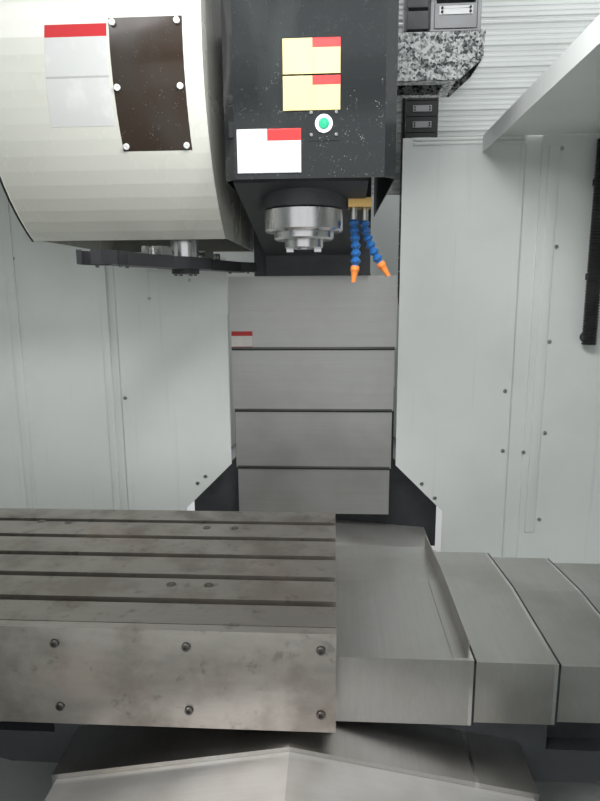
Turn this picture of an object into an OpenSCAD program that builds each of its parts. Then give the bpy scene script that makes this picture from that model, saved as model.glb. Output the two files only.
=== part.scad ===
// Vertical machining centre: C-frame, three axes, arm-type tool changer, telescopic way covers.
// Origin on the floor at the middle of the machine, +X right, +Y to the rear, +Z up, millimetres.

/* [Table] */
// Length of the table along X
table_length = 1000; // [900:10:1060]
// Width of the table along Y
table_width = 504; // [490:2:520]
// Height of the table's top above the floor
table_top = 900; // [896:1:910]
// Thickness of the table's slotted plate
table_plate = 80; // [60:1:84]
// Width of a T-slot's neck
slot_width = 18; // [14:1:22]
// Width of a T-slot's foot
slot_foot = 30; // [26:1:36]
// Depth of a T-slot's neck
slot_neck = 18; // [12:1:22]
// Height of a T-slot's foot
slot_foot_height = 12; // [8:1:14]
// Distance between T-slots
slot_pitch = 90; // [80:1:94]
// Number of T-slots
slot_count = 5; // [3:1:5]
// Height of the plate in front of the table
apron_height = 176; // [140:1:180]
// Thickness of the plate in front of the table
apron_thickness = 18; // [8:1:18]

/* [Travels] */
// Table travel along X
x_travel = 850; // [700:10:860]
// Saddle travel along Y
y_travel = 500; // [400:10:510]
// Head travel along Z
z_travel = 500; // [400:10:510]

/* [Spindle and head] */
// Distance of the spindle axis in front of the machine's middle
spindle_front = 300; // [296:1:306]
// Height of the spindle's gauge face above the table
nose_above_table = 630; // [620:1:640]
// Diameter of the spindle's nose
nose_diameter = 88.9; // [80:0.1:95]
// Diameter of the spindle cartridge's flange
flange_diameter = 180; // [165:1:190]
// Large diameter of the tool taper
taper_diameter = 44.45; // [30:0.05:50]
// Depth of the tool taper
taper_depth = 68; // [50:1:80]
// Width of the head casting
head_width = 280; // [240:2:290]
// Height of the head cover
head_cover_height = 640; // [560:5:700]
// Chamfer on the head cover's front corners
head_chamfer = 24; // [10:1:34]

/* [Tool changer] */
// Radius of the magazine's drum cover
drum_radius = 450; // [440:1:460]
// Height of the drum's axis above the spindle's gauge face
drum_height = 402; // [396:1:410]
// Distance from the arm's axis to the middle of a tool, along X
arm_reach = 310; // [300:1:312]
// Thickness of the tool arm
arm_thickness = 28; // [20:1:30]
// How far the arm moves down to pull a tool
arm_stroke = 115; // [90:1:130]
// Number of tool pots
pot_count = 24; // [16:1:24]
// Diameter of a tool pot
pot_diameter = 64; // [56:1:66]
// Length of a tool pot
pot_length = 84; // [70:1:86]

/* [Frame] */
// Width of the bed at its foot
bed_width = 1040; // [980:5:1100]
// Height of the bed's top above the floor
bed_top = 470; // [465:1:472]
// Length of the saddle along X
saddle_length = 1500; // [1450:5:1510]
// Width of the saddle along Y
saddle_width = 350; // [330:2:354]
// Width of the column
column_width = 560; // [540:2:564]
// Height of the column's top above the floor
column_top = 2150; // [2140:5:2300]
// Width of a guide rail
rail_width = 45; // [35:1:48]
// Height of a guide rail
rail_height = 38; // [30:1:38]
// Diameter of a ballscrew
screw_diameter = 40; // [32:1:42]
// Side of a servo motor's flange
motor_side = 120; // [100:1:122]

/* [Way covers] */
// Thickness of a cover's sheet
cover_sheet = 2; // [1.5:0.1:3]
// Step from one cover section to the next
cover_step = 8; // [6.5:0.1:8]
// Length of an X cover section
x_section = 230; // [220:1:230]
// Length of a Y cover section
y_section = 230; // [220:1:234]
// Width of the gable cover in front of the saddle
gable_width = 800; // [760:2:840]
// Rise of the gable cover's ridge above its sides
gable_rise = 70; // [50:1:74]
// Width of the widest plate of the Z cover
z_cover_width = 546; // [520:2:548]

/* [Enclosure] */
// Outer width of the machine
machine_width = 2440; // [2440:10:2600]
// Depth of the machine from front to rear
machine_depth = 2660; // [2660:10:2760]
// Thickness of the enclosure's sheet
wall_sheet = 3; // [2:0.5:4]
// Height of the white walls' top edge above the floor
wall_top = 1890; // [1885:1:1950]
// Width of the door opening
door_opening = 1180; // [1000:10:1180]
// Height of the door opening's lower edge above the floor
sill_height = 780; // [760:1:790]
// Height of the door opening's upper edge above the floor
header_height = 1980; // [1930:5:2000]
// Diameter of the chip auger
auger_diameter = 110; // [90:1:114]

/* [Hidden] */
$fn = 48;

// Gap between pieces that slide on each other, and between a piece and its seat
slide_gap = 0.3;
spindle_y = -spindle_front;

// Places of the moving parts at home: table to the left and front, head at the top
table_right = (table_length - x_travel) / 2;
table_centre_x = table_right - table_length / 2;
table_front = -842;
table_back = table_front + table_width;
bed_front = table_front - 58;
saddle_y = table_front + table_width / 2;
saddle_front = saddle_y - saddle_width / 2;
saddle_back = saddle_y + saddle_width / 2;
nose_z = table_top + nose_above_table;

// Stack of heights from the bed to the table
block_height = 70;
saddle_bottom = bed_top + block_height;
saddle_top = table_top - 115 - block_height;
table_bottom = saddle_top + block_height;
y_rail_x = 300;
ledge_out = y_rail_x + 110;
x_rail_offset = 120;
x_screw_z = saddle_top - 5;
y_screw_z = bed_top + 30;

// Column, head carriage and the Z guide
rear_y = 230;
column_front = rear_y + 100;
column_back = column_front + 550;
column_foot = 438;
column_foot_top = 690;
column_waist = 900;
column_lean = 180;
z_rail_x = 130;
head_back = column_front - block_height;
head_bottom = nose_z + 125;
head_top = nose_z + 640;
skirt_bottom = nose_z - 50;
z_screw_y = column_front - 20;

head_front = spindle_y - 170;
head_cover_left = -153;
head_cover_right = 193;
half_cast = head_width / 2;
button_x = 49;
button_z = head_bottom + 101;
cartridge_diameter = 150;
shaft_diameter = 70;
pipe_x = 127;
pipe_z = nose_z + 92;
pipe_diameter = 14;
nozzle_xy = [[pipe_x - 13, spindle_y - 10], [pipe_x + 13, spindle_y + 10]];
chain_x = 289;
chain_y = rear_y + 18;
chain_top = head_top + 17;
head_flange = 183;
column_neck = 182;

// Enclosure planes: the front keeps clear of the table, the rear takes up the depth
wall_x = machine_width / 2;
inner_x = wall_x - wall_sheet;
front_y = table_front - 358;
inner_front_y = front_y + 90;
guard_top = 2110;
lintel = guard_top - 44;
pan_edge_z = 520;
fold_x = 647;
seam_x = 700;

// Control box and doors
panel_right = wall_x - 60;
panel_left = panel_right - 360;
panel_low = 1050;
panel_high = 1650;
panel_back = front_y - 12;
panel_front = panel_back - 90;
button_reach = 28;
hinge_x = wall_x - 28;
hinge_y = front_y - 26;
hinge_pin = 20;
door_shift = 520;

trough_y = inner_front_y + 65;
trough_z = 425;
track_y = front_y + 50;
track_low = 702;
track_high = 2050;
track_rib = 14;
auger_shaft = 30;
pan_low_edge = 560;
cabinet_half = 450;
cabinet_low = 250;
cabinet_high = 1950;
cabinet_front = column_back + 25;
rear_face = machine_depth + panel_front - button_reach;
cabinet_back = rear_face - 60;

// X cover sections: number of slides on each side and the slide between two sections
x_slides = 6;
x_slide = x_travel / x_slides;
x_cover_top = table_top - 74;
x_cover_bottom = table_top - 196;
x_cover_front = table_front + 32;
x_cover_back = table_back + 18;
x_cover_crease = saddle_y + 53;
x_cover_fall = 20;
x_lip = 10;

// Y cover sections
gable_top = saddle_top - 5;
gable_front = bed_front + 20;
cover_skirt = bed_top + 90;
y_rear_sections = 4;
y_rear_slide = y_travel / (y_rear_sections - 1);
rear_section = 200;
rear_cover_top = saddle_top - 70;

// Z cover plates, from the one on the head down to the fixed one
z_cover_y = rear_y + 6;
z_cover_pitch = 6;
z_overlap = 35;
z_bottoms = [1245, 1036, 834, 667];
z_tops = [skirt_bottom, for (i = [0 : 2]) z_bottoms[i] + z_overlap];

// Tool changer: the arm's axis lies midway between the spindle and the tipped pot
arm_x = -arm_reach;
arm_y = spindle_y + 120;
arm_angle = 71.5;
arm_z = nose_z - 26;
pot_x = 2 * arm_x;
pot_y = 2 * arm_y - spindle_y;
arm_radius = sqrt(arm_x * arm_x + (arm_y - spindle_y) * (arm_y - spindle_y));
pot_z = nose_z + 2 + pot_length;
drum_z = nose_z + drum_height;
pot_circle = drum_z - pot_z;
drum_left = pot_x - 45;
drum_right = head_cover_left - 39;
drum_bottom = nose_z + 28;
changer_low = nose_z + 110;
changer_high = changer_low + 440;
changer_side = drum_right - 23;
bracket_low = changer_low + 100;
bracket_high = changer_high - 80;
bracket_back = column_front + 70;
arm_shaft_diameter = 70;
pot_pin = 10;

// Corners of a rectangle about the origin with its corners cut off
function chamfered(w, h, c) = [
    [-w / 2 + c, -h / 2], [w / 2 - c, -h / 2], [w / 2, -h / 2 + c], [w / 2, h / 2 - c],
    [w / 2 - c, h / 2], [-w / 2 + c, h / 2], [-w / 2, h / 2 - c], [-w / 2, -h / 2 + c]
];

// Block from its lowest to its highest corner
module block(low, high) {
    translate(low) cube(high - low);
}

// Outline in Y and Z drawn out along X
module along_x(x0, x1) {
    translate([x0, 0, 0]) rotate([90, 0, 90]) linear_extrude(x1 - x0) children();
}

// Outline in X and Z drawn out along Y
module along_y(y0, y1) {
    translate([0, y1, 0]) rotate([90, 0, 0]) linear_extrude(y1 - y0) children();
}

// Outline in X and Y drawn out along Z
module along_z(z0, z1) {
    translate([0, 0, z0]) linear_extrude(z1 - z0) children();
}

// Round bar between two values along one axis
module bar_x(x0, x1, y, z, d) {
    translate([x0, y, z]) rotate([0, 90, 0]) cylinder(h = x1 - x0, d = d);
}
module bar_y(y0, y1, x, z, d) {
    translate([x, y1, z]) rotate([90, 0, 0]) cylinder(h = y1 - y0, d = d);
}
module bar_z(z0, z1, x, y, d) {
    translate([x, y, z0]) cylinder(h = z1 - z0, d = d);
}

// Copy to the left and to the right of the machine's middle plane
module both_sides() {
    children();
    mirror([1, 0, 0]) children();
}

// Servo motor with its flange at z = 0, body towards +Z and its shaft below
module servo_motor(side, length) {
    difference() {
        union() {
            block([-side / 2, -side / 2, 0], [side / 2, side / 2, 14]);
            along_z(14, length) polygon(chamfered(side - 12, side - 12, 12));
            translate([0, 0, length]) cylinder(h = 34, d = side - 26);
            block([-18, side / 2 - 14, length - 60], [18, side / 2 + 12, length - 24]);
        }
        for (x = [-1, 1], y = [-1, 1])
            translate([x, y, 0] * (side / 2 - 11)) translate([0, 0, -1]) cylinder(h = 16, d = 9);
    }
}

// Bed: cast foot with two rail ledges, a channel for the screw and a pad for the column
module bed() {
    half = bed_width / 2;
    ledge_in = y_rail_x - 80;
    color([0.16, 0.17, 0.18]) difference() {
        union() {
            along_y(bed_front, column_back + 20) polygon([
                [-half, 70], [half, 70], [half, 150], [ledge_out, 330], [ledge_out, bed_top],
                [ledge_in, bed_top], [ledge_in, bed_top - 45], [-ledge_in, bed_top - 45],
                [-ledge_in, bed_top], [-ledge_out, bed_top], [-ledge_out, 330], [-half, 150]
            ]);
            block([-ledge_out, column_front - 45, bed_top - 60],
                  [ledge_out, column_back + 20, bed_top + 50]);
        }
        for (y = [-760 : 300 : 740])
            along_x(-half - 1, half + 1) translate([y, 0])
                polygon([[0, 190], [220, 190], [220, 290], [190, 320], [30, 320], [0, 290]]);
        block([-half + 50, bed_front + 60, 60], [half - 50, column_back - 40, 130]);
        block([-75, 160, bed_top - 45], [75, column_front - 44, bed_top + 60]);
    }
}

// Levelling feet: pad, screw and nut under each corner and the middle of the bed
module levelling_feet() {
    color([0.55, 0.56, 0.58]) for (x = [-1, 1], y = [bed_front + 80, 0, column_back - 60]) {
        translate([x * (bed_width / 2 - 25), y, 0]) {
            cylinder(h = 24, d = 90);
            cylinder(h = 70, d = 24);
            translate([0, 0, 50]) cylinder(h = 14, d = 42, $fn = 6);
        }
    }
}

// Column: a cast tower that narrows upwards, with a screw channel between its rail seats
module column() {
    half = column_width / 2;
    neck = column_neck;
    foot = column_foot;
    foot_top = column_foot_top;
    flare_top = foot_top + foot - half;
    color([0.13, 0.14, 0.15]) difference() {
        intersection() {
            along_y(rear_y + wall_sheet + 30, column_back) polygon([
                [-foot, bed_top + 50], [foot, bed_top + 50], [foot, foot_top],
                [half, flare_top], [half, 1100], [neck, 1530], [neck, column_top],
                [-neck, column_top], [-neck, 1530], [-half, 1100], [-half, flare_top],
                [-foot, foot_top]
            ]);
            along_x(-foot, foot) polygon([
                [column_front, bed_top + 50], [column_back, bed_top + 50],
                [column_back, column_waist], [column_back - column_lean, column_top],
                [column_front, column_top]
            ]);
        }
        block([-65, column_front - 1, 700], [65, column_front + 45, column_top + 1]);
        along_y(column_back - 240, column_back + 1) for (z = [620, 1100, 1560])
            translate([0, z]) polygon([[-150, 0], [150, 0], [130, 330], [-130, 330]]);
    }
}

// Guide rail along Y or Z: waisted section with its bolt holes
module rail_section() {
    w = rail_width;
    h = rail_height;
    polygon([[-w / 2, 0], [w / 2, 0], [w / 2, h * 0.3], [w * 0.36, h * 0.5],
             [w / 2, h * 0.72], [w / 2, h * 0.9], [w * 0.42, h], [-w * 0.42, h],
             [-w / 2, h * 0.9], [-w / 2, h * 0.72], [-w * 0.36, h * 0.5], [-w / 2, h * 0.3]]);
}

module guide_rails() {
    color([0.72, 0.73, 0.75]) {
        for (x = [-y_rail_x, y_rail_x])
            translate([x, 0, bed_top]) along_y(saddle_y - 230, saddle_y + y_travel + 230)
                rail_section();
        for (x = [-z_rail_x, z_rail_x])
            translate([x, column_front, 0]) along_z(skirt_bottom - 40 - z_travel, column_top - 20)
                mirror([0, 1]) rail_section();
    }
}

// Ballscrew: threaded bar between two bearing blocks, along +Z from z = 0
module ballscrew(length, block_side) {
    cylinder(h = length, d = screw_diameter);
    for (z = [10, length - 60])
        translate([0, 0, z]) block([-block_side / 2, -block_side / 2, 0],
                                   [block_side / 2, block_side / 2, 50]);
}

// Screws and servo motors of the Y and Z axes, all fixed on the bed and the column
module axis_drives() {
    y_start = bed_front + 32;
    y_length = 1010;
    z_start = 760;
    z_length = column_top - z_start - 30;
    color([0.6, 0.61, 0.63]) {
        translate([0, y_start, y_screw_z]) rotate([-90, 0, 0]) ballscrew(y_length, 70);
        for (y = [y_start + 10, y_start + y_length - 60])
            block([-60, y, bed_top - 45], [60, y + 50, y_screw_z - 35]);
        translate([0, z_screw_y, z_start]) ballscrew(z_length, 34);
        for (z = [z_start + 10, z_start + z_length - 60])
            block([-50, z_screw_y, z], [50, column_front + 45, z + 50]);
    }
    color([0.1, 0.1, 0.11]) {
        translate([0, y_start, y_screw_z]) rotate([90, 0, 0]) servo_motor(motor_side, 70);
        translate([0, z_screw_y + 50, column_top])
            block([-90, -75, 0], [90, 75, 20]);
        translate([0, z_screw_y + 50, column_top + 20]) servo_motor(motor_side, 230);
    }
}

// Points on an arc about (cx, cy), from angle a0 to angle a1 in n steps
function arc(cx, cy, r, a0, a1, n) = [
    for (i = [0 : n]) [cx + r * cos(a0 + (a1 - a0) * i / n), cy + r * sin(a0 + (a1 - a0) * i / n)]
];

// Chip pan: sloped floors beside the bed and a round trough in front for the auger
module chip_pan() {
    bed_side = ledge_out + 3;
    trough_r = auger_diameter / 2 + 12;
    trough_back = trough_y + trough_r;
    back = rear_y - slide_gap;
    end = inner_x - slide_gap;
    t = wall_sheet;
    lip = trough_back + 0.8;
    low = trough_z - 1;
    color([0.85, 0.87, 0.85]) {
        both_sides() along_y(lip, back) polygon([
            [bed_side - 1, low], [bed_side + 40, low], [end, pan_edge_z - 1],
            [end, pan_edge_z + t], [bed_side + 39, trough_z + t], [bed_side - 1, trough_z + t]
        ]);
        along_x(1 - end, end - 1) polygon(concat(
            arc(trough_y, trough_z, trough_r, 0, -180, 16),
            [[trough_y - trough_r, track_low - 14], [trough_y - trough_r - t, track_low - 14]],
            arc(trough_y, trough_z, trough_r + t, -180, 0, 16)
        ));
        block([-bed_side, lip, low], [bed_side, bed_front - 0.5, trough_z + t]);
        both_sides() along_y(lip, trough_back + t) polygon([
            [bed_side - 1, low - 5], [end, low - 5], [end, pan_edge_z],
            [bed_side + 40, trough_z + 1], [bed_side - 1, trough_z + 1]
        ]);
        both_sides() difference() {
            along_x(end - 22, end - 2) translate([trough_y, trough_z]) circle(r = trough_r + 1.5);
            bar_x(end - 23, end, trough_y, trough_z, auger_shaft + 0.2);
            block([end - 23, trough_y - 100, trough_z], [end - 1.5, trough_y + 100, trough_z + 100]);
        }
    }
}

// Side walls with the roof panels that are folded in from their top edges
module side_walls() {
    front = inner_front_y + slide_gap;
    roof_edge = 520;
    left_roof_edge = 760;
    color([0.93, 0.94, 0.93]) {
        for (side = [[1, roof_edge], [-1, left_roof_edge]]) {
            scale_x = side[0];
            mirror([scale_x > 0 ? 0 : 1, 0, 0]) {
                along_y(front, rear_y) polygon([
                    [wall_x, pan_low_edge], [wall_x, wall_top + wall_sheet],
                    [side[1], wall_top + wall_sheet], [side[1], wall_top - 45],
                    [side[1] + wall_sheet, wall_top - 45], [side[1] + wall_sheet, wall_top],
                    [inner_x, wall_top], [inner_x, pan_low_edge]
                ]);
                block([inner_x, front, 150], [wall_x, column_back, pan_low_edge]);
                block([inner_x, rear_y, pan_low_edge], [wall_x, column_back, wall_top]);
            }
        }
    }
}

// Rear walls: jogged sheets on both sides of the column, low behind the magazine, and
// the ribbed guard that stands above them
module rear_walls() {
    inner = z_cover_width / 2 + 6;
    foot = column_foot + 3;
    foot_z = column_foot_top;
    flare_z = foot_z + foot - inner;
    jog = 8;
    t = wall_sheet;
    magazine_cut = drum_bottom - 18;
    color([0.93, 0.94, 0.93]) {
        for (side = [1, -1]) mirror([side > 0 ? 0 : 1, 0, 0]) {
            intersection() {
                along_z(trough_z, wall_top - slide_gap) polygon([
                    [inner, rear_y], [fold_x, rear_y], [fold_x + jog, rear_y + jog],
                    [seam_x, rear_y + jog], [seam_x, rear_y], [inner_x - slide_gap, rear_y],
                    [inner_x - slide_gap, rear_y + t], [seam_x + t, rear_y + t],
                    [seam_x + t, rear_y + jog + t], [fold_x + jog - 1, rear_y + jog + t],
                    [fold_x - 1, rear_y + t], [inner, rear_y + t]
                ]);
                along_y(rear_y - 1, rear_y + jog + t + 1) polygon(concat(
                    [[foot, trough_z], [inner_x, trough_z], [inner_x, wall_top]],
                    side > 0 ? [[inner, wall_top]] :
                        [[seam_x - 4, wall_top], [seam_x - 4, magazine_cut], [inner, magazine_cut]],
                    [[inner, flare_z], [foot, foot_z]]
                ));
            }
            guard_in = side > 0 ? 195 : 700;
            ribbed_guard(guard_in, inner_x - slide_gap);
        }
    }
}

// Upper guard: a sheet with pressed ribs along X, every fourth one deeper
module ribbed_guard(x0, x1) {
    pitch = 16;
    count = 33;
    base = rear_y + 175;
    low = wall_top - 140;
    front = [for (i = [0 : count - 1]) each [
        [base, low + i * pitch + 4],
        [base - (i % 4 == 0 ? 9 : 4), low + i * pitch + 7],
        [base - (i % 4 == 0 ? 9 : 4), low + i * pitch + 11],
        [base, low + i * pitch + 14]
    ]];
    along_x(x0, x1) polygon(concat(
        [[base + 3, low + count * pitch], [base + 3, low], [base, low]],
        front, [[base, low + count * pitch]]
    ));
}

// Front guard: one frame around the door opening, with the door tracks behind its edges
module front_guard() {
    half = door_opening / 2;
    skirt = 345;
    color([0.93, 0.94, 0.93]) difference() {
        union() {
            block([-wall_x, front_y, skirt], [wall_x, front_y + wall_sheet, guard_top]);
            both_sides() block([inner_x, front_y, skirt], [wall_x, inner_front_y, guard_top]);
            block([-wall_x, front_y, guard_top - 3], [wall_x, inner_front_y, guard_top]);
            block([-wall_x, inner_front_y - 3, lintel], [wall_x, inner_front_y, guard_top]);
            for (z = [panel_low - 25, panel_high + 5])
                block([hinge_x - 22, hinge_y - 22, z], [hinge_x + 22, front_y + 1, z + 20]);
            block([-wall_x + 1, front_y, track_high], [wall_x - 1, inner_front_y, lintel]);
            block([-wall_x + 1, front_y, track_low - 13], [wall_x - 1, inner_front_y - 4, track_low]);
        }
        block([-half, front_y - 1, sill_height], [half, front_y + 4, header_height]);
        bar_z(panel_low - 60, panel_high + 60, hinge_x, hinge_y, hinge_pin + 0.1);
        both_sides() block([inner_x - 340, front_y - 1, 420], [inner_x - 60, front_y + 4, 480]);
    }
    color([0.7, 0.71, 0.72]) for (z = [track_low, track_high - track_rib])
        block([-inner_x + 1, track_y - 3, z], [inner_x - 1, track_y + 3, z + track_rib]);
}

// Work lamps inside the enclosure and the signal lamp on the roof
module lamps() {
    color([0.9, 0.9, 0.85]) both_sides()
        translate([inner_x - 0.3, -700, wall_top - 130]) {
            along_y(0, 620) polygon([[0, 0], [0, 70], [-22, 70], [-60, 32], [-60, 18], [-30, 0]]);
        }
    translate([wall_x - 110, front_y + 200, wall_top + wall_sheet + 0.3]) {
        color([0.5, 0.5, 0.52]) {
            cylinder(h = 8, d = 70);
            cylinder(h = 120, d = 22);
        }
        for (i = [0 : 2]) color([[0.1, 0.6, 0.2], [0.9, 0.6, 0.1], [0.8, 0.1, 0.1]][i])
            translate([0, 0, 120 + i * 56]) cylinder(h = 54, d = 56);
        color([0.5, 0.5, 0.52]) translate([0, 0, 288]) cylinder(h = 8, d = 50);
    }
}

// Coolant tank with its chip basket well, a lid and the two upright pumps
module coolant_tank() {
    front = front_y - 40;
    back = bed_front - 30;
    half = 800;
    height = 310;
    color([0.3, 0.32, 0.34]) {
        difference() {
            block([-half, front, 0], [half, back, height]);
            block([-half + 4, front + 4, 4], [half - 4, back - 4, height - 60]);
            block([-half + 60, front + 40, height - 61], [-half + 560, back - 30, height + 1]);
        }
        for (x = [half - 560, half - 300]) translate([x, (front + back) / 2, height - 60]) {
            translate([0, 0, -180]) cylinder(h = 180, d = 70);
        }
    }
    color([0.12, 0.25, 0.4]) for (x = [half - 560, half - 300])
        translate([x, (front + back) / 2, height]) {
            cylinder(h = 8, d = 120);
            cylinder(h = 24, d = 96);
        }
}

// Depth of the column's sloping back at height z
function column_slope(z) =
    column_back - column_lean * (z - column_waist) / (column_top - column_waist);

// Electrical cabinet: an open steel box with its mounting plate, rails and drive units
module electrical_cabinet() {
    t = 3;
    plate = cabinet_front + 20;
    unit_back = plate + (cabinet_back - plate) * 12 / 23;
    upper = cabinet_high - 55;
    color([0.88, 0.89, 0.88]) {
        difference() {
            block([-cabinet_half, cabinet_front, cabinet_low],
                  [cabinet_half, cabinet_back, cabinet_high]);
            block([-cabinet_half + t, cabinet_front + t, cabinet_low + t],
                  [cabinet_half - t, cabinet_back + 1, cabinet_high - t]);
        }
        both_sides() {
            block([200, cabinet_front - 5, cabinet_low + 100], [260, cabinet_front, cabinet_low + 160]);
            along_x(100, 160) polygon([[column_slope(upper), upper], [cabinet_front, upper],
                [cabinet_front, upper + 40], [column_slope(upper + 40), upper + 40]]);
        }
    }
    color([0.8, 0.7, 0.3]) block([-cabinet_half + 40, cabinet_front + t, cabinet_low + 60],
        [cabinet_half - 40, plate, cabinet_high - 60]);
    color([0.25, 0.27, 0.3]) for (row = [0, 1], i = [0 : 4])
        block([-cabinet_half + 70 + i * 140, plate, cabinet_low + 200 + row * 620],
              [-cabinet_half + 180 + i * 140, unit_back, cabinet_low + 560 + row * 620]);
}

// Cabinet door: folded sheet with a turned-in rim and a latch handle, hinged on the left
module cabinet_door() {
    y0 = cabinet_back + 0.5;
    y1 = y0 + 24;
    latch_low = cabinet_low + 650;
    color([0.88, 0.89, 0.88]) difference() {
        union() {
            block([-cabinet_half, y0, cabinet_low], [cabinet_half - 1, y1, cabinet_high]);
            for (z = [cabinet_low + 120, cabinet_high - 240])
                bar_z(z, z + 120, -cabinet_half, y1 - 9, 18);
        }
        block([-cabinet_half + 20, y0 - 1, cabinet_low + 20],
              [cabinet_half - 21, y1 - 3, cabinet_high - 20]);
    }
    color([0.1, 0.1, 0.1]) {
        block([cabinet_half - 80, y1, latch_low], [cabinet_half - 50, y1 + 8, latch_low + 160]);
        block([cabinet_half - 76, y1 + 8, latch_low + 80],
              [cabinet_half - 54, rear_face, latch_low + 156]);
    }
}

// Chip auger: shaft with one helical flight
module chip_auger() {
    length = 2 * inner_x - 60;
    pitch = 110;
    steps = 12;
    count = floor(length * steps / pitch);
    outer = auger_diameter / 2;
    inner = auger_shaft / 2 / cos(180 / steps) + 0.05;
    flight = 5;
    function at(i, r, side) = [
        -length / 2 + i * pitch / steps + side * flight / 2,
        r * cos(i * 360 / steps), r * sin(i * 360 / steps)
    ];
    points = [for (i = [0 : count]) each [
        at(i, inner, -1), at(i, outer, -1), at(i, outer, 1), at(i, inner, 1)
    ]];
    faces = [for (i = [0 : count - 1], j = [0 : 3]) let (a = 4 * i + j, b = 4 * i + (j + 1) % 4)
        each [[a, b, b + 4], [a, b + 4, a + 4]]];
    color([0.6, 0.61, 0.62]) {
        bar_x(-inner_x + 3, inner_x - 3, trough_y, trough_z, auger_shaft);
        translate([0, trough_y, trough_z]) polyhedron(points, concat(
            faces, [[2, 1, 0], [3, 2, 0]],
            [for (j = [1, 2]) [4 * count, 4 * count + j, 4 * count + j + 1]]));
    }
}

// X cover section: outline in Y and Z, stepped inwards by s, with walls of thickness t
function x_cover_points(s, t) = [
    [x_cover_front + s, x_cover_bottom], [x_cover_front + s, x_cover_top - s],
    [x_cover_crease, x_cover_top - s], [x_cover_back - s, x_cover_top - s - x_cover_fall],
    [x_cover_back - s, x_cover_bottom], [x_cover_back - s - t, x_cover_bottom],
    [x_cover_back - s - t, x_cover_top - s - t - x_cover_fall],
    [x_cover_crease, x_cover_top - s - t], [x_cover_front + s + t, x_cover_top - s - t],
    [x_cover_front + s + t, x_cover_bottom]
];

module x_cover_section(s, x0, x1, lipped) {
    along_x(x0, x1) polygon(x_cover_points(s, cover_sheet));
    if (lipped)
        along_x(x1 - x_lip, x1) polygon(x_cover_points(s, cover_step - slide_gap));
}

// The sections with one number on both sides: the right one drawn out, the left one pushed in
module x_cover_pair(k) {
    s = cover_step * (k - 1);
    right_end = table_right + x_section + x_slide * (k - 1);
    left_end = table_length - table_right + x_section;
    short = k > 1 ? 6 : 0;
    lipped = k <= x_slides;
    color([0.62, 0.62, 0.63]) {
        x_cover_section(s, right_end - x_section + short, right_end, lipped);
        mirror([1, 0, 0]) x_cover_section(s, left_end - x_section + short, left_end, lipped);
    }
}

module x_cover_1() {
    strip_x = table_right + x_section - 34;
    x_cover_pair(1);
    color([0.66, 0.66, 0.67]) along_x(table_right, table_right + 5.5)
        polygon([[x_cover_front + 40, x_cover_bottom + 60], [x_cover_front + 40, x_cover_top - 2],
                 [x_cover_crease, x_cover_top - 2], [x_cover_crease, x_cover_bottom + 60]]);
    color([0.7, 0.7, 0.71]) {
        block([strip_x, x_cover_front + 4, x_cover_top],
              [strip_x + 26, x_cover_crease, x_cover_top + 2]);
        block([strip_x + 24, x_cover_front + 4, x_cover_top],
              [strip_x + 26, x_cover_crease, x_cover_top + 35]);
        along_x(strip_x + 24, strip_x + 26) polygon([
            [x_cover_crease, x_cover_top], [x_cover_crease, x_cover_top + 35],
            [x_cover_back - 6, x_cover_top + 35 - x_cover_fall],
            [x_cover_back - 6, x_cover_top - x_cover_fall]]);
    }
}
module x_cover_2() { x_cover_pair(2); }
module x_cover_3() { x_cover_pair(3); }
module x_cover_4() { x_cover_pair(4); }
module x_cover_5() { x_cover_pair(5); }
module x_cover_6() { x_cover_pair(6); }

// Gable cover section: outline in X and Z, stepped inwards by s, with walls of thickness t
function gable_points(half, top, rise, bottom, t) = [
    [-half, bottom], [-half, top - rise], [0, top], [half, top - rise], [half, bottom],
    [half - t, bottom], [half - t, top - rise - t], [0, top - t],
    [-half + t, top - rise - t], [-half + t, bottom]
];

module gable_section(s, top, half, rise, bottom, y0, y1, lip0, lip1) {
    thick = cover_step - slide_gap;
    along_y(y0, y1) polygon(gable_points(half - s, top - s, rise, bottom, cover_sheet));
    if (lip1 > lip0)
        along_y(lip0, lip1) polygon(gable_points(half - s, top - s, rise, bottom, thick));
}

module front_section(k, y0, y1, bottom) {
    color([0.66, 0.66, 0.67]) gable_section(cover_step * (k - 1), gable_top, gable_width / 2,
        gable_rise, bottom, y0, y1, y0, k < 4 ? y0 + 10 : y0);
}

module rear_section_cover(k, y0, y1, bottom) {
    color([0.3, 0.31, 0.32]) gable_section(cover_step * (k - 1), rear_cover_top, 420,
        30, bottom, y0, y1, y1 - 10, k < 4 ? y1 : y1 - 10);
}

front_inner = saddle_front - 4;
module y_front_cover_2() { front_section(2, front_inner - y_section, front_inner, cover_skirt); }
module y_front_cover_3() { front_section(3, front_inner - y_section, front_inner, cover_skirt); }

rear_end = saddle_back + rear_section;
module y_rear_cover_2() {
    rear_section_cover(2, rear_end + y_rear_slide - rear_section + 4, rear_end + y_rear_slide, cover_skirt);
}
module y_rear_cover_3() {
    end = rear_end + 2 * y_rear_slide;
    rear_section_cover(3, end - rear_section + 4, end, cover_skirt);
}

// Fixed end sections of the Y covers, standing on the bed
module y_cover_ends() {
    front_section(4, front_inner - y_section, front_inner, bed_top);
    rear_section_cover(4, rear_end + y_travel - rear_section + 4, column_front - 0.5, bed_top + 50.5);
    color([0.3, 0.31, 0.32]) both_sides()
        block([392, column_front - 42, bed_top + 50], [396, column_front, bed_top + 80]);
}

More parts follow.
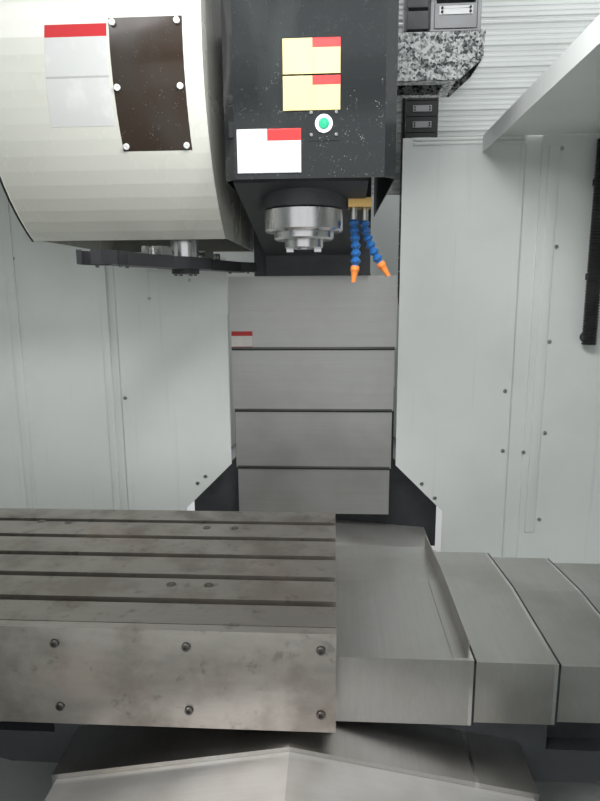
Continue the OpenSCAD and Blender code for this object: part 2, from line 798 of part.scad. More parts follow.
// Saddle: cast cross slide with rail seats, screw channels and its carriages on the Y rails
module saddle() {
    half = saddle_length / 2;
    seat_in = x_rail_offset - 38;
    channel = saddle_top - 60;
    c = saddle_y;
    color([0.16, 0.17, 0.18]) {
        difference() {
            union() {
                along_x(-half, half) polygon([
                    [saddle_front + 20, saddle_bottom], [saddle_back - 20, saddle_bottom],
                    [saddle_back, saddle_bottom + 20], [saddle_back, saddle_top],
                    [c + seat_in, saddle_top], [c + seat_in, channel], [c - seat_in, channel],
                    [c - seat_in, saddle_top], [saddle_front, saddle_top],
                    [saddle_front, saddle_bottom + 20]
                ]);
                for (x = [-y_rail_x, y_rail_x], y = [c - 150, c + 150])
                    block([x - 50, y - 60, bed_top + 8], [x + 50, y + 60, saddle_bottom + 1]);
                block([-45, c - 50, y_screw_z - 42], [45, c + 50, saddle_bottom + 1]);
            }
            for (x = [-y_rail_x, y_rail_x])
                block([x - rail_width / 2 - slide_gap, saddle_front - 60, bed_top],
                      [x + rail_width / 2 + slide_gap, saddle_back + 60,
                       bed_top + rail_height + slide_gap]);
            bar_y(c - 60, c + 60, 0, y_screw_z, screw_diameter + 2 * slide_gap);
            both_sides() along_y(saddle_front - 1, saddle_back + 1) polygon([
                [half - 300, saddle_bottom - 1], [half + 1, saddle_bottom - 1],
                [half + 1, saddle_bottom + 70]
            ]);
            for (x = [-560, 0, 560])
                block([x - 110, saddle_front - 1, saddle_bottom + 85],
                      [x + 110, saddle_front + 30, saddle_top - 30]);
        }
    }
}

module x_guide_rails() {
    color([0.72, 0.73, 0.75]) for (y = [saddle_y - x_rail_offset, saddle_y + x_rail_offset])
        translate([0, y, saddle_top]) along_x(-saddle_length / 2 + 10, saddle_length / 2 - 10)
            rail_section();
}

module x_axis_drive() {
    half = saddle_length / 2;
    color([0.6, 0.61, 0.63]) {
        bar_x(-half + 0.5, half - 8, saddle_y, x_screw_z, screw_diameter);
        for (x = [-half + 6, half - 56])
            block([x, saddle_y - 45, saddle_top - 60], [x + 50, saddle_y + 45, x_screw_z + 34]);
    }
    color([0.1, 0.1, 0.11]) translate([-half, saddle_y, x_screw_z]) rotate([0, -90, 0])
        servo_motor(motor_side, 110);
}

// Hoods and end sections of the way covers that are carried by the saddle
module saddle_covers() {
    half = saddle_length / 2;
    s = cover_step * x_slides;
    end = table_right + x_section + x_travel;
    channel_front = x_cover_front + s + cover_sheet;
    channel_back = x_cover_back - s - cover_sheet;
    channel_low = x_cover_bottom - 58;
    channel_top = x_cover_bottom + 30;
    front_section(1, gable_front, saddle_front, cover_skirt);
    rear_section_cover(1, saddle_back, rear_end, cover_skirt);
    x_cover_pair(x_slides + 1);
    color([0.3, 0.31, 0.32]) both_sides() {
        along_x(half, end) polygon([
            [channel_front, channel_low], [channel_back, channel_low],
            [channel_back, channel_top], [channel_back - 4, channel_top],
            [channel_back - 4, channel_low + 4], [channel_front + 4, channel_low + 4],
            [channel_front + 4, channel_top], [channel_front, channel_top]
        ]);
        difference() {
            along_x(end - 3, end) polygon([
                [channel_front, channel_low + 2], [channel_front, x_cover_top - s - 1],
                [x_cover_crease, x_cover_top - s - 1],
                [channel_back, x_cover_top - s - x_cover_fall - 1],
                [channel_back, channel_low + 2]]);
            block([end - 4, saddle_y - 60, channel_low + 24],
                  [end + 1, saddle_y + 60, channel_low + 74]);
        }
    }
}

// Section of the table: T-slots above, a thicker middle below
module table_outline() {
    half_slots = (slot_count - 1) / 2;
    centre = saddle_y;
    low = table_top - table_plate;
    function slot(i) = let (y = centre + (i - half_slots) * slot_pitch) [
        [y + slot_width / 2, table_top], [y + slot_width / 2, table_top - slot_neck],
        [y + slot_foot / 2, table_top - slot_neck],
        [y + slot_foot / 2, table_top - slot_neck - slot_foot_height],
        [y - slot_foot / 2, table_top - slot_neck - slot_foot_height],
        [y - slot_foot / 2, table_top - slot_neck],
        [y - slot_width / 2, table_top - slot_neck], [y - slot_width / 2, table_top]
    ];
    polygon(concat(
        [[table_front, table_top], [table_front, low]],
        [[saddle_y - 190, low], [saddle_y - 175, table_bottom],
         [saddle_y + 175, table_bottom], [saddle_y + 190, low]],
        [[table_back, low], [table_back, table_top]],
        [for (i = [slot_count - 1 : -1 : 0]) each slot(i)]
    ));
}

// Table: slotted plate with its carriages on the X rails and the nut bracket
module table() {
    left = table_right - table_length;
    c = table_centre_x;
    color([0.55, 0.54, 0.53]) {
        difference() {
            union() {
                along_x(left, table_right) table_outline();
                for (x = [c - 250, c + 250], y = [saddle_y - x_rail_offset, saddle_y + x_rail_offset])
                    block([x - 60, y - 50, saddle_top + 8], [x + 60, y + 50, table_bottom + 1]);
                block([c - 60, saddle_y - 44, x_screw_z - 44], [c + 60, saddle_y + 44, table_bottom + 1]);
            }
            for (y = [saddle_y - x_rail_offset, saddle_y + x_rail_offset])
                block([left - 1, y - rail_width / 2 - slide_gap, saddle_top],
                      [table_right + 1, y + rail_width / 2 + slide_gap,
                       saddle_top + rail_height + slide_gap]);
            bar_x(c - 70, c + 70, saddle_y, x_screw_z, screw_diameter + 2 * slide_gap);
        }
    }
}

// Plate bolted in front of the table on spacers
module apron_plate() {
    left = table_right - table_length;
    gap = 2;
    face = table_front - gap - apron_thickness;
    spacer_inset = 40;
    spacer_pitch = (table_length - 2 * spacer_inset) / 4;
    bore_left = 108;
    bore_right = 24;
    bore_pitch = (table_length - bore_left - bore_right) / 4;
    color([0.5, 0.48, 0.46]) difference() {
        union() {
            block([left, face, table_top - apron_height],
                  [table_right, table_front - gap, table_top]);
            for (i = [0 : 4]) bar_y(table_front - gap, table_front,
                table_right - spacer_inset - i * spacer_pitch, table_top - 28, 22);
        }
        for (i = [0 : 4], z = [table_top - 28, table_top - 143])
            bar_y(face - 1, face + 3, table_right - bore_right - i * bore_pitch, z, 15);
    }
}

// Z cover plate number k: sheet with side flanges and a wiper lip behind its lower edge
module z_cover_plate(k) {
    half = z_cover_width / 2 - 4 * (k - 1);
    y = z_cover_y + z_cover_pitch * (k - 1);
    t = cover_sheet;
    low = z_bottoms[k - 1];
    high = z_tops[k - 1];
    color([0.66, 0.66, 0.67]) {
        along_z(low, high) polygon([
            [-half, y], [half, y], [half, y + 14], [half - t, y + 14], [half - t, y + t],
            [-half + t, y + t], [-half + t, y + 14], [-half, y + 14]
        ]);
        if (k < 4) block([-half + t, y + t, low], [half - t, y + z_cover_pitch - slide_gap, low + 10]);
    }
}
module z_cover_1() {
    z_cover_plate(1);
    color([0.66, 0.66, 0.67]) block([-140, z_cover_y, skirt_bottom - 3],
        [140, z_cover_y + 20, skirt_bottom]);
}
module z_cover_2() { z_cover_plate(2); }
module z_cover_3() { z_cover_plate(3); }
module z_cover_4() {
    z_cover_plate(4);
    color([0.3, 0.31, 0.32]) both_sides()
        block([110, z_cover_y + 3 * z_cover_pitch + cover_sheet, 672], [200, column_front, 684]);
}

// Head casting: box with a sloped underside, carriages on the Z rails and the nut boss
module head_casting() {
    half = head_width / 2;
    boss_low = nose_z + 85;
    nut_low = head_bottom + 85;
    color([0.12, 0.13, 0.14]) difference() {
        union() {
            along_x(-half, half) polygon([
                [head_front + 40, head_bottom], [head_front + 40, head_top],
                [head_back, head_top], [head_back, skirt_bottom], [165, skirt_bottom],
                [150, skirt_bottom + 60]
            ]);
            block([-head_flange, 202, skirt_bottom], [head_flange, head_back, head_top]);
            for (x = [-z_rail_x, z_rail_x], z = [skirt_bottom + 80, skirt_bottom + 500])
                block([x - 48, head_back - 1, z], [x + 48, column_front - 8, z + 120]);
            block([-50, head_back - 1, nut_low], [50, z_screw_y + 34, nut_low + 100]);
            bar_z(boss_low, head_bottom + 40, 0, spindle_y, 200);
        }
        for (x = [-z_rail_x, z_rail_x])
            block([x - rail_width / 2 - slide_gap, column_front - rail_height - slide_gap, 1400],
                  [x + rail_width / 2 + slide_gap, column_front + 1, head_top + 10]);
        bar_z(nut_low - 10, nut_low + 110, 0, z_screw_y, screw_diameter + 2 * slide_gap);
        bar_z(boss_low - 1, head_top + 1, 0, spindle_y, cartridge_diameter + 2 * slide_gap);
        bar_z(nose_z, boss_low, 0, spindle_y, flange_diameter + 6);
        block([pipe_x - 26.5, spindle_y - 32, nose_z], [half + 1, spindle_y + 32, head_bottom]);
        bar_z(head_bottom - 1, head_bottom + 60, pipe_x, spindle_y, pipe_diameter + 2 * slide_gap);
    }
}

// Head cover: folded black sheet around the casting, with its corner chamfers and button plate
module head_cover() {
    t = 2;
    left = head_cover_left;
    right = head_cover_right;
    c = head_chamfer;
    top = head_bottom + head_cover_height;
    color([0.03, 0.03, 0.035]) {
        difference() {
            along_z(head_bottom, top) polygon([
                [left, 196], [left, head_front + c], [left + c, head_front], [right - c, head_front],
                [right, head_front + c], [right, 196], [right - t, 196],
                [right - t, head_front + c + 1], [right - c - 1, head_front + t],
                [left + c + 1, head_front + t], [left + t, head_front + c + 1], [left + t, 196]
            ]);
            translate([button_x, head_front + 1, button_z]) rotate([90, 0, 0])
                cylinder(h = 10, d = 23, center = true);
        }
        for (z = [head_bottom + 80, top - 120], x = [-half_cast, half_cast - 10])
            block([x, head_front + t, z], [x + 10, head_front + 40, z + 30]);
    }
    color([0.55, 0.56, 0.57]) difference() {
        block([button_x - 31, head_front - 1.5, button_z - 31],
              [button_x + 31, head_front, button_z + 31]);
        translate([button_x, head_front, button_z]) rotate([90, 0, 0])
            cylinder(h = 10, d = 23, center = true);
    }
}

// Tool release button: a green plunger in a white ring
module release_button() {
    color([0.1, 0.5, 0.3]) translate([button_x, head_front, button_z]) rotate([90, 0, 0])
        rotate_extrude() polygon([[0, -26], [10.8, -26], [10.8, 5], [9.5, 7], [0, 7.5]]);
}

// Spindle cartridge: stepped housing with a bolted flange
module spindle_cartridge() {
    r_shaft = shaft_diameter / 2 + slide_gap;
    r_nose = nose_diameter / 2 + slide_gap;
    r_body = cartridge_diameter / 2;
    flange_r = flange_diameter / 2;
    color([0.6, 0.6, 0.61]) translate([0, spindle_y, nose_z]) difference() {
        rotate_extrude($fn = 96) polygon([
            [r_nose, 18], [64, 18], [69, 22], [69, 35], [flange_r - 5, 35], [flange_r, 40],
            [flange_r, 82], [flange_r - 3, 85], [r_body, 85], [r_body, 420],
            [r_shaft, 420], [r_shaft, 72], [r_nose, 72]
        ]);
        for (i = [0 : 7]) rotate([0, 0, i * 45 + 22.5]) {
            translate([flange_r - 10, 0, 34]) cylinder(h = 12, d = 14);
            if (i % 2 == 0) translate([57, 0, 17]) cylinder(h = 6, d = 7);
        }
    }
}

// Spindle shaft: nose with the tool taper, two drive keys, and the drawbar's bore
module spindle_shaft() {
    r_top = taper_diameter / 2 - taper_depth * 7 / 48;
    r_nose = nose_diameter / 2;
    r_shaft = shaft_diameter / 2;
    color([0.75, 0.75, 0.76]) translate([0, spindle_y, nose_z]) {
        rotate_extrude($fn = 96) polygon([
            [taper_diameter / 2, 0], [r_nose - 2, 0], [r_nose, 2], [r_nose, 71],
            [r_shaft, 71], [r_shaft, 500], [20, 500], [20, head_top - nose_z - 2],
            [0, head_top - nose_z - 2], [0, 300], [9, 300], [9, taper_depth + 20],
            [r_top, taper_depth + 20], [r_top, taper_depth]
        ]);
        for (side = [-1, 1]) translate([side * 32, 0, 0])
            block([-8, -8, -8], [8, 8, 0]);
    }
}

// Spindle motor on top of the head, with the cylinder that releases the tool
module spindle_motor() {
    side = 190;
    color([0.14, 0.15, 0.17]) translate([0, spindle_y, head_top]) {
        block([-110, -110, 0], [110, 110, 16]);
        for (x = [-80, 70]) block([x, -100, 16], [x + 10, 100, 60]);
        block([-105, -105, 60], [105, 105, 76]);
        along_z(76, 330) difference() {
            polygon(chamfered(side, side, 26));
            for (a = [0, 90, 180, 270], i = [-2 : 2]) rotate(a)
                translate([side / 2 - 5, i * 24 - 5]) square([6, 10]);
        }
        translate([0, 0, 330]) cylinder(h = 70, d = 150);
    }
}

// Coolant pipe under the head with its distributor and the two hose sockets
module coolant_pipes() {
    color([0.62, 0.62, 0.6]) {
        bar_z(pipe_z, head_bottom + 50, pipe_x, spindle_y, pipe_diameter);
        for (i = [0, 1]) bar_z(pipe_z - 30, pipe_z, nozzle_xy[i][0], nozzle_xy[i][1], 16);
    }
    color([0.7, 0.55, 0.25]) block([pipe_x - 26, spindle_y - 26, pipe_z - 4],
        [pipe_x + 26, spindle_y + 26, pipe_z + 16]);
}

// Jointed hose: round segments along a bent line, then a tapered nozzle
module jointed_hose(i, lean, bend) {
    count = 6;
    pitch = 17;
    translate([nozzle_xy[i][0], nozzle_xy[i][1], pipe_z - 30 - slide_gap]) {
        color([0.05, 0.3, 0.65]) for (j = [0 : count - 1]) {
            place = hose_point(j, pitch, lean, bend);
            translate(place) rotate([0, 90 - hose_angle(j, lean, bend), 0])
                rotate_extrude($fn = 32) polygon([
                    [0, 0], [8, 0], [11.5, 5], [11.5, 9], [8.5, 14], [7.5, 19], [0, 19]
                ]);
        }
        color([0.9, 0.45, 0.15]) translate(hose_point(count, pitch, lean, bend))
            rotate([0, 90 - hose_angle(count, lean, bend), 0]) rotate_extrude($fn = 32)
                polygon([[0, 0], [9, 0], [10.5, 5], [10.5, 10], [5.5, 30], [5.5, 38],
                         [3, 38], [3, 6], [0, 6]]);
    }
}
function hose_angle(j, lean, bend) = j == 0 ? -90 : -90 + lean + bend * j;
function hose_point(j, pitch, lean, bend) = j == 0 ? [0, 0, 0] :
    hose_point(j - 1, pitch, lean, bend) + pitch * [
        cos(hose_angle(j - 1, lean, bend)), 0, sin(hose_angle(j - 1, lean, bend))];

module left_nozzle() { jointed_hose(0, 12, -3); }
module right_nozzle() { jointed_hose(1, 16, 3); }

// Bracket of the cable chain: folded galvanized sheet bolted behind the head
module chain_bracket() {
    low = chain_top - 134;
    high = chain_top + 3;
    front = chain_y - 4.5;
    color([0.7, 0.71, 0.7]) {
        along_y(front, front + 3) polygon([
            [head_flange, high], [518, high], [511, high - 68], [462, low], [head_flange, low]]);
        block([chain_x - 20, front, chain_top], [518, chain_y + 36, high]);
    }
}

// Cable chain: links down behind the rear wall, round the bend and up again
module cable_chain() {
    links = 16;
    pitch = 46;
    top = chain_top - slide_gap;
    radius = 52;
    bottom = top - links * pitch;
    centre_y = chain_y + 18 + radius;
    turns = 4;
    color([0.06, 0.06, 0.07]) {
        for (i = [0 : links - 1]) chain_link([chain_x, chain_y, top - (i + 1) * pitch]);
        for (i = [0 : turns - 1]) translate([0, centre_y, bottom])
            rotate([180 * (i + 0.5) / turns, 0, 0])
                block([chain_x, -radius - 18, -19], [chain_x + 97, -radius + 18, 19]);
        for (i = [0 : links - 2])
            chain_link([chain_x, centre_y + radius - 18, bottom + i * pitch]);
    }
}

module chain_link(corner) {
    translate(corner) {
        block([0, 0, 0], [97, 36, 43]);
        block([6, 5, 43], [91, 31, 46]);
    }
}

// Tool changer box with its column mount and the magazine's fixed axle
module tool_changer_box() {
    low = changer_low;
    high = changer_high;
    plate = changer_side;
    inside = plate - 25;
    left = arm_x - 75;
    front = arm_y - 102;
    color([0.14, 0.15, 0.16]) {
        difference() {
            union() {
                along_z(low, high) polygon([
                    [left, front + 20], [left + 20, front], [inside, front], [plate, front + 20],
                    [plate, 300], [inside, 300], [inside, arm_y + 120], [left, arm_y + 120]
                ]);
                block([inside, 299, bracket_low], [plate, bracket_back, bracket_high]);
                block([plate - 1, column_front + 15, bracket_low],
                      [-column_neck, bracket_back, bracket_high]);
                for (y = [-200, 200], z = [low + 60, high - 60])
                    bar_x(plate - 1, drum_right - 3, y, z, 30);
                bar_x(pot_x - 35, plate - 15, pot_y, drum_z, 60);
                bar_x(pot_x + 20, left - 15, pot_y, drum_z, 90);
            }
            bar_z(low - 1, low + 380, arm_x, arm_y, arm_shaft_diameter + 2 * slide_gap);
        }
        translate([arm_x + 10, arm_y - 10, high]) servo_motor(100, 150);
    }
}

// Splined shaft that carries the arm, guided in the tool changer box
module arm_shaft() {
    color([0.7, 0.7, 0.71]) difference() {
        bar_z(arm_z + arm_thickness / 2 + slide_gap, arm_z + arm_stroke + 225, arm_x, arm_y,
            arm_shaft_diameter);
        bar_z(arm_z, arm_z + 70, arm_x, arm_y, 36);
    }
}

// Twin-ended tool arm: hub, two waisted beams and a claw at each end
module tool_arm() {
    r = arm_radius;
    jaw = 31.75;
    color([0.06, 0.06, 0.065]) translate([arm_x, arm_y, arm_z - arm_thickness / 2])
        rotate([0, 0, arm_angle]) {
            difference() {
                union() {
                    linear_extrude(arm_thickness) difference() {
                        polygon(concat(
                            [[r + 22, -30], [r + 38, -18], [r + 12, 0], [r + 38, 18], [r + 22, 30],
                             [r - 10, 44], [r - 70, 24], [90, 26], [50, 46], [-50, 46],
                             [-90, 26], [-r + 70, 24], [-r + 10, 44], [-r - 22, 30],
                             [-r - 38, 18], [-r - 12, 0], [-r - 38, -18], [-r - 22, -30],
                             [-r + 10, -44], [-r + 70, -24], [-90, -26], [-50, -46],
                             [50, -46], [90, -26], [r - 70, -24], [r - 10, -44]]));
                        for (side = [-1, 1]) translate([side * r, 0]) circle(r = jaw);
                    }
                    cylinder(h = arm_thickness + 50, d = 35);
                    translate([0, 0, -12]) cylinder(h = 12, d = 70);
                }
                for (side = [-1, 1]) translate([side * 150, 0, arm_thickness - 6])
                    linear_extrude(7) square([70, 24], center = true);
            }
        }
    color([0.75, 0.75, 0.74]) translate([arm_x, arm_y, arm_z + arm_thickness / 2])
        rotate([0, 0, arm_angle]) for (side = [-1, 1])
            translate([side * 100, 0, 0]) block([-22, -14, 0], [22, 14, 22]);
}

// Magazine disc with its fixed pots; the pot at the change place is a piece of its own
module magazine_disc() {
    plate_x = pot_x - 18;
    rim = pot_circle - pot_diameter / 2 - 2;
    step = 360 / pot_count;
    color([0.45, 0.46, 0.48]) translate([0, pot_y, drum_z]) {
        difference() {
            union() {
                bar_x(plate_x, plate_x + 16, 0, 0, 2 * rim);
                bar_x(plate_x, plate_x + 16, 0, 0, 150);
                for (i = [1 : pot_count - 1]) rotate([i * step, 0, 0])
                    block([plate_x, -20, -pot_circle - 14], [pot_x - 0.01, 20, -rim + 12]);
                for (side = [-1, 1]) mirror([0, side > 0 ? 0 : 1, 0])
                    block([plate_x, pot_diameter / 2 + 1, -pot_circle - 12],
                          [pot_x + 12, pot_diameter / 2 + 9, -rim + 18]);
            }
            bar_x(plate_x - 1, plate_x + 40, 0, 0, 60 + 2 * slide_gap);
            for (i = [0 : 5]) rotate([i * 60 + 30, 0, 0])
                bar_x(plate_x - 1, plate_x + 20, 0, rim * 0.6, rim * 0.34);
            bar_y(-60, 60, pot_x, -pot_circle, pot_pin + 0.1);
        }
    }
    color([0.12, 0.12, 0.13]) translate([0, pot_y, drum_z])
        for (i = [1 : pot_count - 1]) rotate([i * step, 0, 0])
            translate([pot_x, 0, -pot_circle]) rotate([0, 90, 0]) tool_pot();
}

// Tool pot, open end up: a socket with a tapered bore
module tool_pot() {
    r = pot_diameter / 2;
    rotate_extrude($fn = 32) polygon([
        [0, 0], [r - 4, 0], [r - 4, 20], [r, 24], [r, pot_length - 8], [r - 3, pot_length],
        [taper_diameter / 2 + 1, pot_length], [14, 14], [0, 14]
    ]);
}

module tipping_pot() {
    color([0.12, 0.12, 0.13]) translate([pot_x, pot_y, pot_z]) {
        rotate([0, 90, 0]) rotate_extrude($fn = 32) polygon([
            [0, -6], [20, -6], [pot_diameter / 2 - 4, 4], [pot_diameter / 2 - 4, 20],
            [pot_diameter / 2, 24], [pot_diameter / 2, pot_length - 8],
            [pot_diameter / 2 - 3, pot_length], [taper_diameter / 2 + 1, pot_length],
            [14, 14], [0, 14]
        ]);
        bar_y(-pot_diameter / 2 - 8, pot_diameter / 2 + 8, 0, 0, pot_pin);
    }
}

// Drum cover of the magazine: rolled sheet, open below, with its end walls and edge trim
module magazine_cover() {
    t = 3;
    r = drum_radius;
    low = asin((drum_bottom - drum_z) / r);
    color([0.92, 0.92, 0.88]) translate([0, 0, drum_z]) {
        along_x(drum_left, drum_right) polygon(concat(
            arc(0, 0, r, low, 180 - low, 72), arc(0, 0, r - t, 180 - low, low, 72)));
        for (x = [drum_left, drum_right - t]) difference() {
            along_x(x, x + t) polygon(arc(0, 0, r - 1, low + 0.5, 179.5 - low, 72));
            if (x == drum_right - t)
                block([x - 1, column_front + 8, bracket_low - drum_z - 8],
                      [x + t + 1, bracket_back + 60, bracket_high - drum_z + 8]);
            else
                bar_x(x - 1, x + t + 1, 0, 40, 420);
        }
    }
    color([0.05, 0.05, 0.05]) translate([0, 0, drum_z])
        along_x(drum_left - 6, drum_left) polygon(concat(
            arc(0, 0, r + 2, low, 180 - low, 72), arc(0, 0, r - 14, 180 - low, low, 72)));
}

// Corrugated hose clipped to the rear wall, from the roof down to its wall gland
module coolant_hose() {
    low = wall_top - 630;
    pitch = 9;
    count = 68;
    hose_x = inner_x - 347;
    color([0.07, 0.07, 0.07]) {
        translate([hose_x, rear_y - 30, low]) rotate_extrude($fn = 32) polygon(concat(
            [[0, 0]], [for (i = [0 : count - 1]) each [
                [19, i * pitch], [22, i * pitch + 2], [22, i * pitch + 5], [19, i * pitch + 7]]],
            [[0, count * pitch]]));
        bar_y(rear_y - 30, rear_y - slide_gap, hose_x, low + 22, 36);
        for (z = [low + 200, low + 480])
            block([hose_x - 15, rear_y - 12, z], [hose_x + 15, rear_y - slide_gap, z + 20]);
    }
}

// Door leaf: folded panel with a window hole, grooves for the tracks and a pull handle
module door_leaf() {
    width = door_opening / 2 + 14;
    x0 = -door_shift - width;
    x1 = -door_shift - 0.5;
    t = 24;
    low = track_low + slide_gap;
    high = track_high - slide_gap;
    grip_low = track_low + 428;
    color([0.92, 0.93, 0.92]) difference() {
        block([x0, track_y - t / 2, low], [x1, track_y + t / 2, high]);
        block([x0 + 20, track_y - t / 2 + 3, low + 40], [x1 - 20, track_y + t / 2 + 1, high - 40]);
        block([x0 + 90, track_y - t, low + 330], [x1 - 110, track_y + t, high - 180]);
        for (z = [low - 1, high - track_rib])
            block([x0 - 1, track_y - 3 - slide_gap, z], [x1 + 1, track_y + 3 + slide_gap,
                z + track_rib + 1]);
    }
    color([0.1, 0.1, 0.1]) {
        bar_z(grip_low, grip_low + 320, x1 - 26, track_y - 54, 22);
        for (z = [grip_low + 20, grip_low + 300])
            bar_y(track_y - 54, track_y - t / 2, x1 - 26, z, 18);
    }
}

// Window pane behind the leaf's hole
module window_pane() {
    width = door_opening / 2 + 14;
    x0 = -door_shift - width;
    x1 = -door_shift - 0.5;
    color([0.7, 0.8, 0.8, 0.4]) block([x0 + 75, track_y - 9 + slide_gap, track_low + 316],
        [x1 - 95, track_y - 3, track_high - 166]);
}
module left_door() { door_leaf(); }
module right_door() { mirror([1, 0, 0]) door_leaf(); }
module left_window() { window_pane(); }
module right_window() { mirror([1, 0, 0]) window_pane(); }

// Control box: sloped console with its screen, keypad and the hinge tube on its right
module control_box() {
    left = panel_left;
    right = panel_right;
    color([0.8, 0.81, 0.8]) difference() {
        union() {
            along_x(left, right) polygon([
                [panel_back, panel_low], [panel_front + 25, panel_low], [panel_front, panel_low + 40],
                [panel_front, panel_high - 10], [panel_front + 10, panel_high],
                [panel_back, panel_high]]);
            bar_z(panel_low + 10, panel_high - 10, hinge_x, hinge_y, 34);
            block([right - 1, hinge_y - 8, panel_low + 40], [hinge_x, hinge_y + 8, panel_high - 40]);
            bar_z(panel_low - 24, panel_high + 24, hinge_x, hinge_y, hinge_pin);
        }
        block([left + 40, panel_front - 1, panel_high - 320],
              [right - 40, panel_front + 5, panel_high - 40]);
        for (x = [left + 60, right - 90])
            bar_y(panel_front - 1, panel_front + 31, x, panel_low + 90, 26);
    }
    color([0.05, 0.06, 0.08]) block([left + 44, panel_front + 2, panel_high - 316],
        [right - 44, panel_front + 5, panel_high - 44]);
    color([0.2, 0.21, 0.22]) for (row = [0 : 3], col = [0 : 7])
        block([left + 50 + col * 34, panel_front - 1, panel_low + 130 + row * 30],
              [left + 78 + col * 34, panel_front, panel_low + 152 + row * 30]);
}

// Mushroom button that stops the machine
module emergency_stop() {
    color([0.8, 0.05, 0.05]) translate([panel_left + 60, panel_front, panel_low + 90])
        rotate([90, 0, 0]) rotate_extrude() polygon([
            [0, -20], [12.7, -20], [12.7, 8], [20, 12], [20, 20], [14, 26.8], [0, 28]]);
}

// Rotary knob that trims the feed
module override_knob() {
    color([0.1, 0.1, 0.11]) translate([panel_right - 90, panel_front, panel_low + 90])
        rotate([90, 0, 0]) difference() {
            rotate_extrude() polygon([
                [0, -20], [12.7, -20], [12.7, 0.3], [22, 0.3], [22, 8], [14, 10], [14, 22], [0, 22]]);
            translate([-2, 8, 20]) cube([4, 10, 4]);
        }
}

bed();
levelling_feet();
column();
guide_rails();
axis_drives();
chip_pan();
side_walls();
rear_walls();
front_guard();
lamps();
coolant_tank();
electrical_cabinet();
y_cover_ends();
z_cover_4();
tool_changer_box();
magazine_cover();
coolant_hose();
cabinet_door();
chip_auger();
control_box();
emergency_stop();
override_knob();
left_door();
left_window();
right_door();
right_window();
saddle();
x_guide_rails();
x_axis_drive();
saddle_covers();
table();
apron_plate();
x_cover_1();
x_cover_2();
x_cover_3();
x_cover_4();
x_cover_5();
x_cover_6();
y_front_cover_2();
y_front_cover_3();
y_rear_cover_2();
y_rear_cover_3();
z_cover_1();
z_cover_2();
z_cover_3();
head_casting();
head_cover();
spindle_cartridge();
spindle_shaft();
spindle_motor();
coolant_pipes();
left_nozzle();
right_nozzle();
chain_bracket();
cable_chain();
release_button();
arm_shaft();
tool_arm();
magazine_disc();
tipping_pot();
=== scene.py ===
import math

import bpy
from bpy.props import FloatProperty, FloatVectorProperty, IntProperty, PointerProperty
from bpy.types import Operator, Panel, PropertyGroup
from mathutils import Matrix, Vector


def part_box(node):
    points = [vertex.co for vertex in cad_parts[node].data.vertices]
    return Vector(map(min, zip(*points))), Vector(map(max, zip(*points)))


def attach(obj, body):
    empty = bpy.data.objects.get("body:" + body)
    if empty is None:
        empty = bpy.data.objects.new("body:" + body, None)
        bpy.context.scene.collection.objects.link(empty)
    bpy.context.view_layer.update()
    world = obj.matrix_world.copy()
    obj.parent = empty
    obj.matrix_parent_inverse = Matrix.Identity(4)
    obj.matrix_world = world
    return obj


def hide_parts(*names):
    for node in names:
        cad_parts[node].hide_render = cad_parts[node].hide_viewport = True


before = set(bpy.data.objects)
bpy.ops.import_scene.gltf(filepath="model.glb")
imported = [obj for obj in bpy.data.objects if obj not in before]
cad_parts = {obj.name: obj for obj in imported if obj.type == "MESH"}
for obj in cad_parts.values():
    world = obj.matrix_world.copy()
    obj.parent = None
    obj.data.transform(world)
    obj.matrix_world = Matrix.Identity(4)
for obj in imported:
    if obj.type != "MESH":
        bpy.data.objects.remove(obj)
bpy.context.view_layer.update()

bl_info = {
    "name": "Machining centre",
    "version": (1, 0, 0),
    "blender": (4, 5, 0),
    "location": "3D View > Sidebar > Machine",
    "description": "Finishes and small parts of a vertical machining centre",
    "category": "Object",
}

X, Y, Z = Vector((1, 0, 0)), Vector((0, 1, 0)), Vector((0, 0, 1))

# Stretch of a steel finish whose grain runs no special way
EVEN_GRAIN = (300, 300, 300)


def low(node):
    """Lowest corner of a CAD node at rest"""
    return Vector(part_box(node)[0])


def high(node):
    """Highest corner of a CAD node at rest"""
    return Vector(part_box(node)[1])


def middle(node):
    """Middle of a CAD node's box at rest"""
    return (low(node) + high(node)) / 2


# Sizes and colours that a user would change


class MachineSizes(PropertyGroup):
    screw_radius: FloatProperty(
        name="Sheet screw", description="Radius of a screw head on the enclosure",
        default=0.0065, unit="LENGTH")
    cap_radius: FloatProperty(
        name="Cap screw", description="Radius of a cap screw's head on the apron",
        default=0.0068, unit="LENGTH")
    edge_round: FloatProperty(
        name="Edge rounding", description="Width of the bevel on small plates",
        default=0.0012, unit="LENGTH")
    camera_lens: FloatProperty(
        name="Lens", description="Focal length on a 36 mm tall frame", default=26.74)
    hose_segments: IntProperty(
        name="Hose segments", description="Number of segments in a coolant hose",
        default=6, min=3, max=12)


class MachineColours(PropertyGroup):
    sheet: FloatVectorProperty(
        name="Enclosure", description="Paint of the enclosure's sheets",
        subtype="COLOR", default=(0.80, 0.83, 0.81))
    drum: FloatVectorProperty(
        name="Drum cover", description="Paint of the magazine's drum cover",
        subtype="COLOR", default=(0.57, 0.575, 0.52))
    head: FloatVectorProperty(
        name="Head cover", description="Gloss paint of the head cover",
        subtype="COLOR", default=(0.012, 0.014, 0.015))
    casting: FloatVectorProperty(
        name="Castings", description="Paint of the cast parts",
        subtype="COLOR", default=(0.035, 0.038, 0.042))
    hose: FloatVectorProperty(
        name="Hose", description="Plastic of the jointed coolant hoses",
        subtype="COLOR", default=(0.015, 0.12, 0.36))
    nozzle: FloatVectorProperty(
        name="Nozzle", description="Plastic of the coolant nozzles",
        subtype="COLOR", default=(0.85, 0.25, 0.05))


def sizes():
    return bpy.context.scene.machine_sizes


def colours():
    return bpy.context.scene.machine_colours


# Shader maths


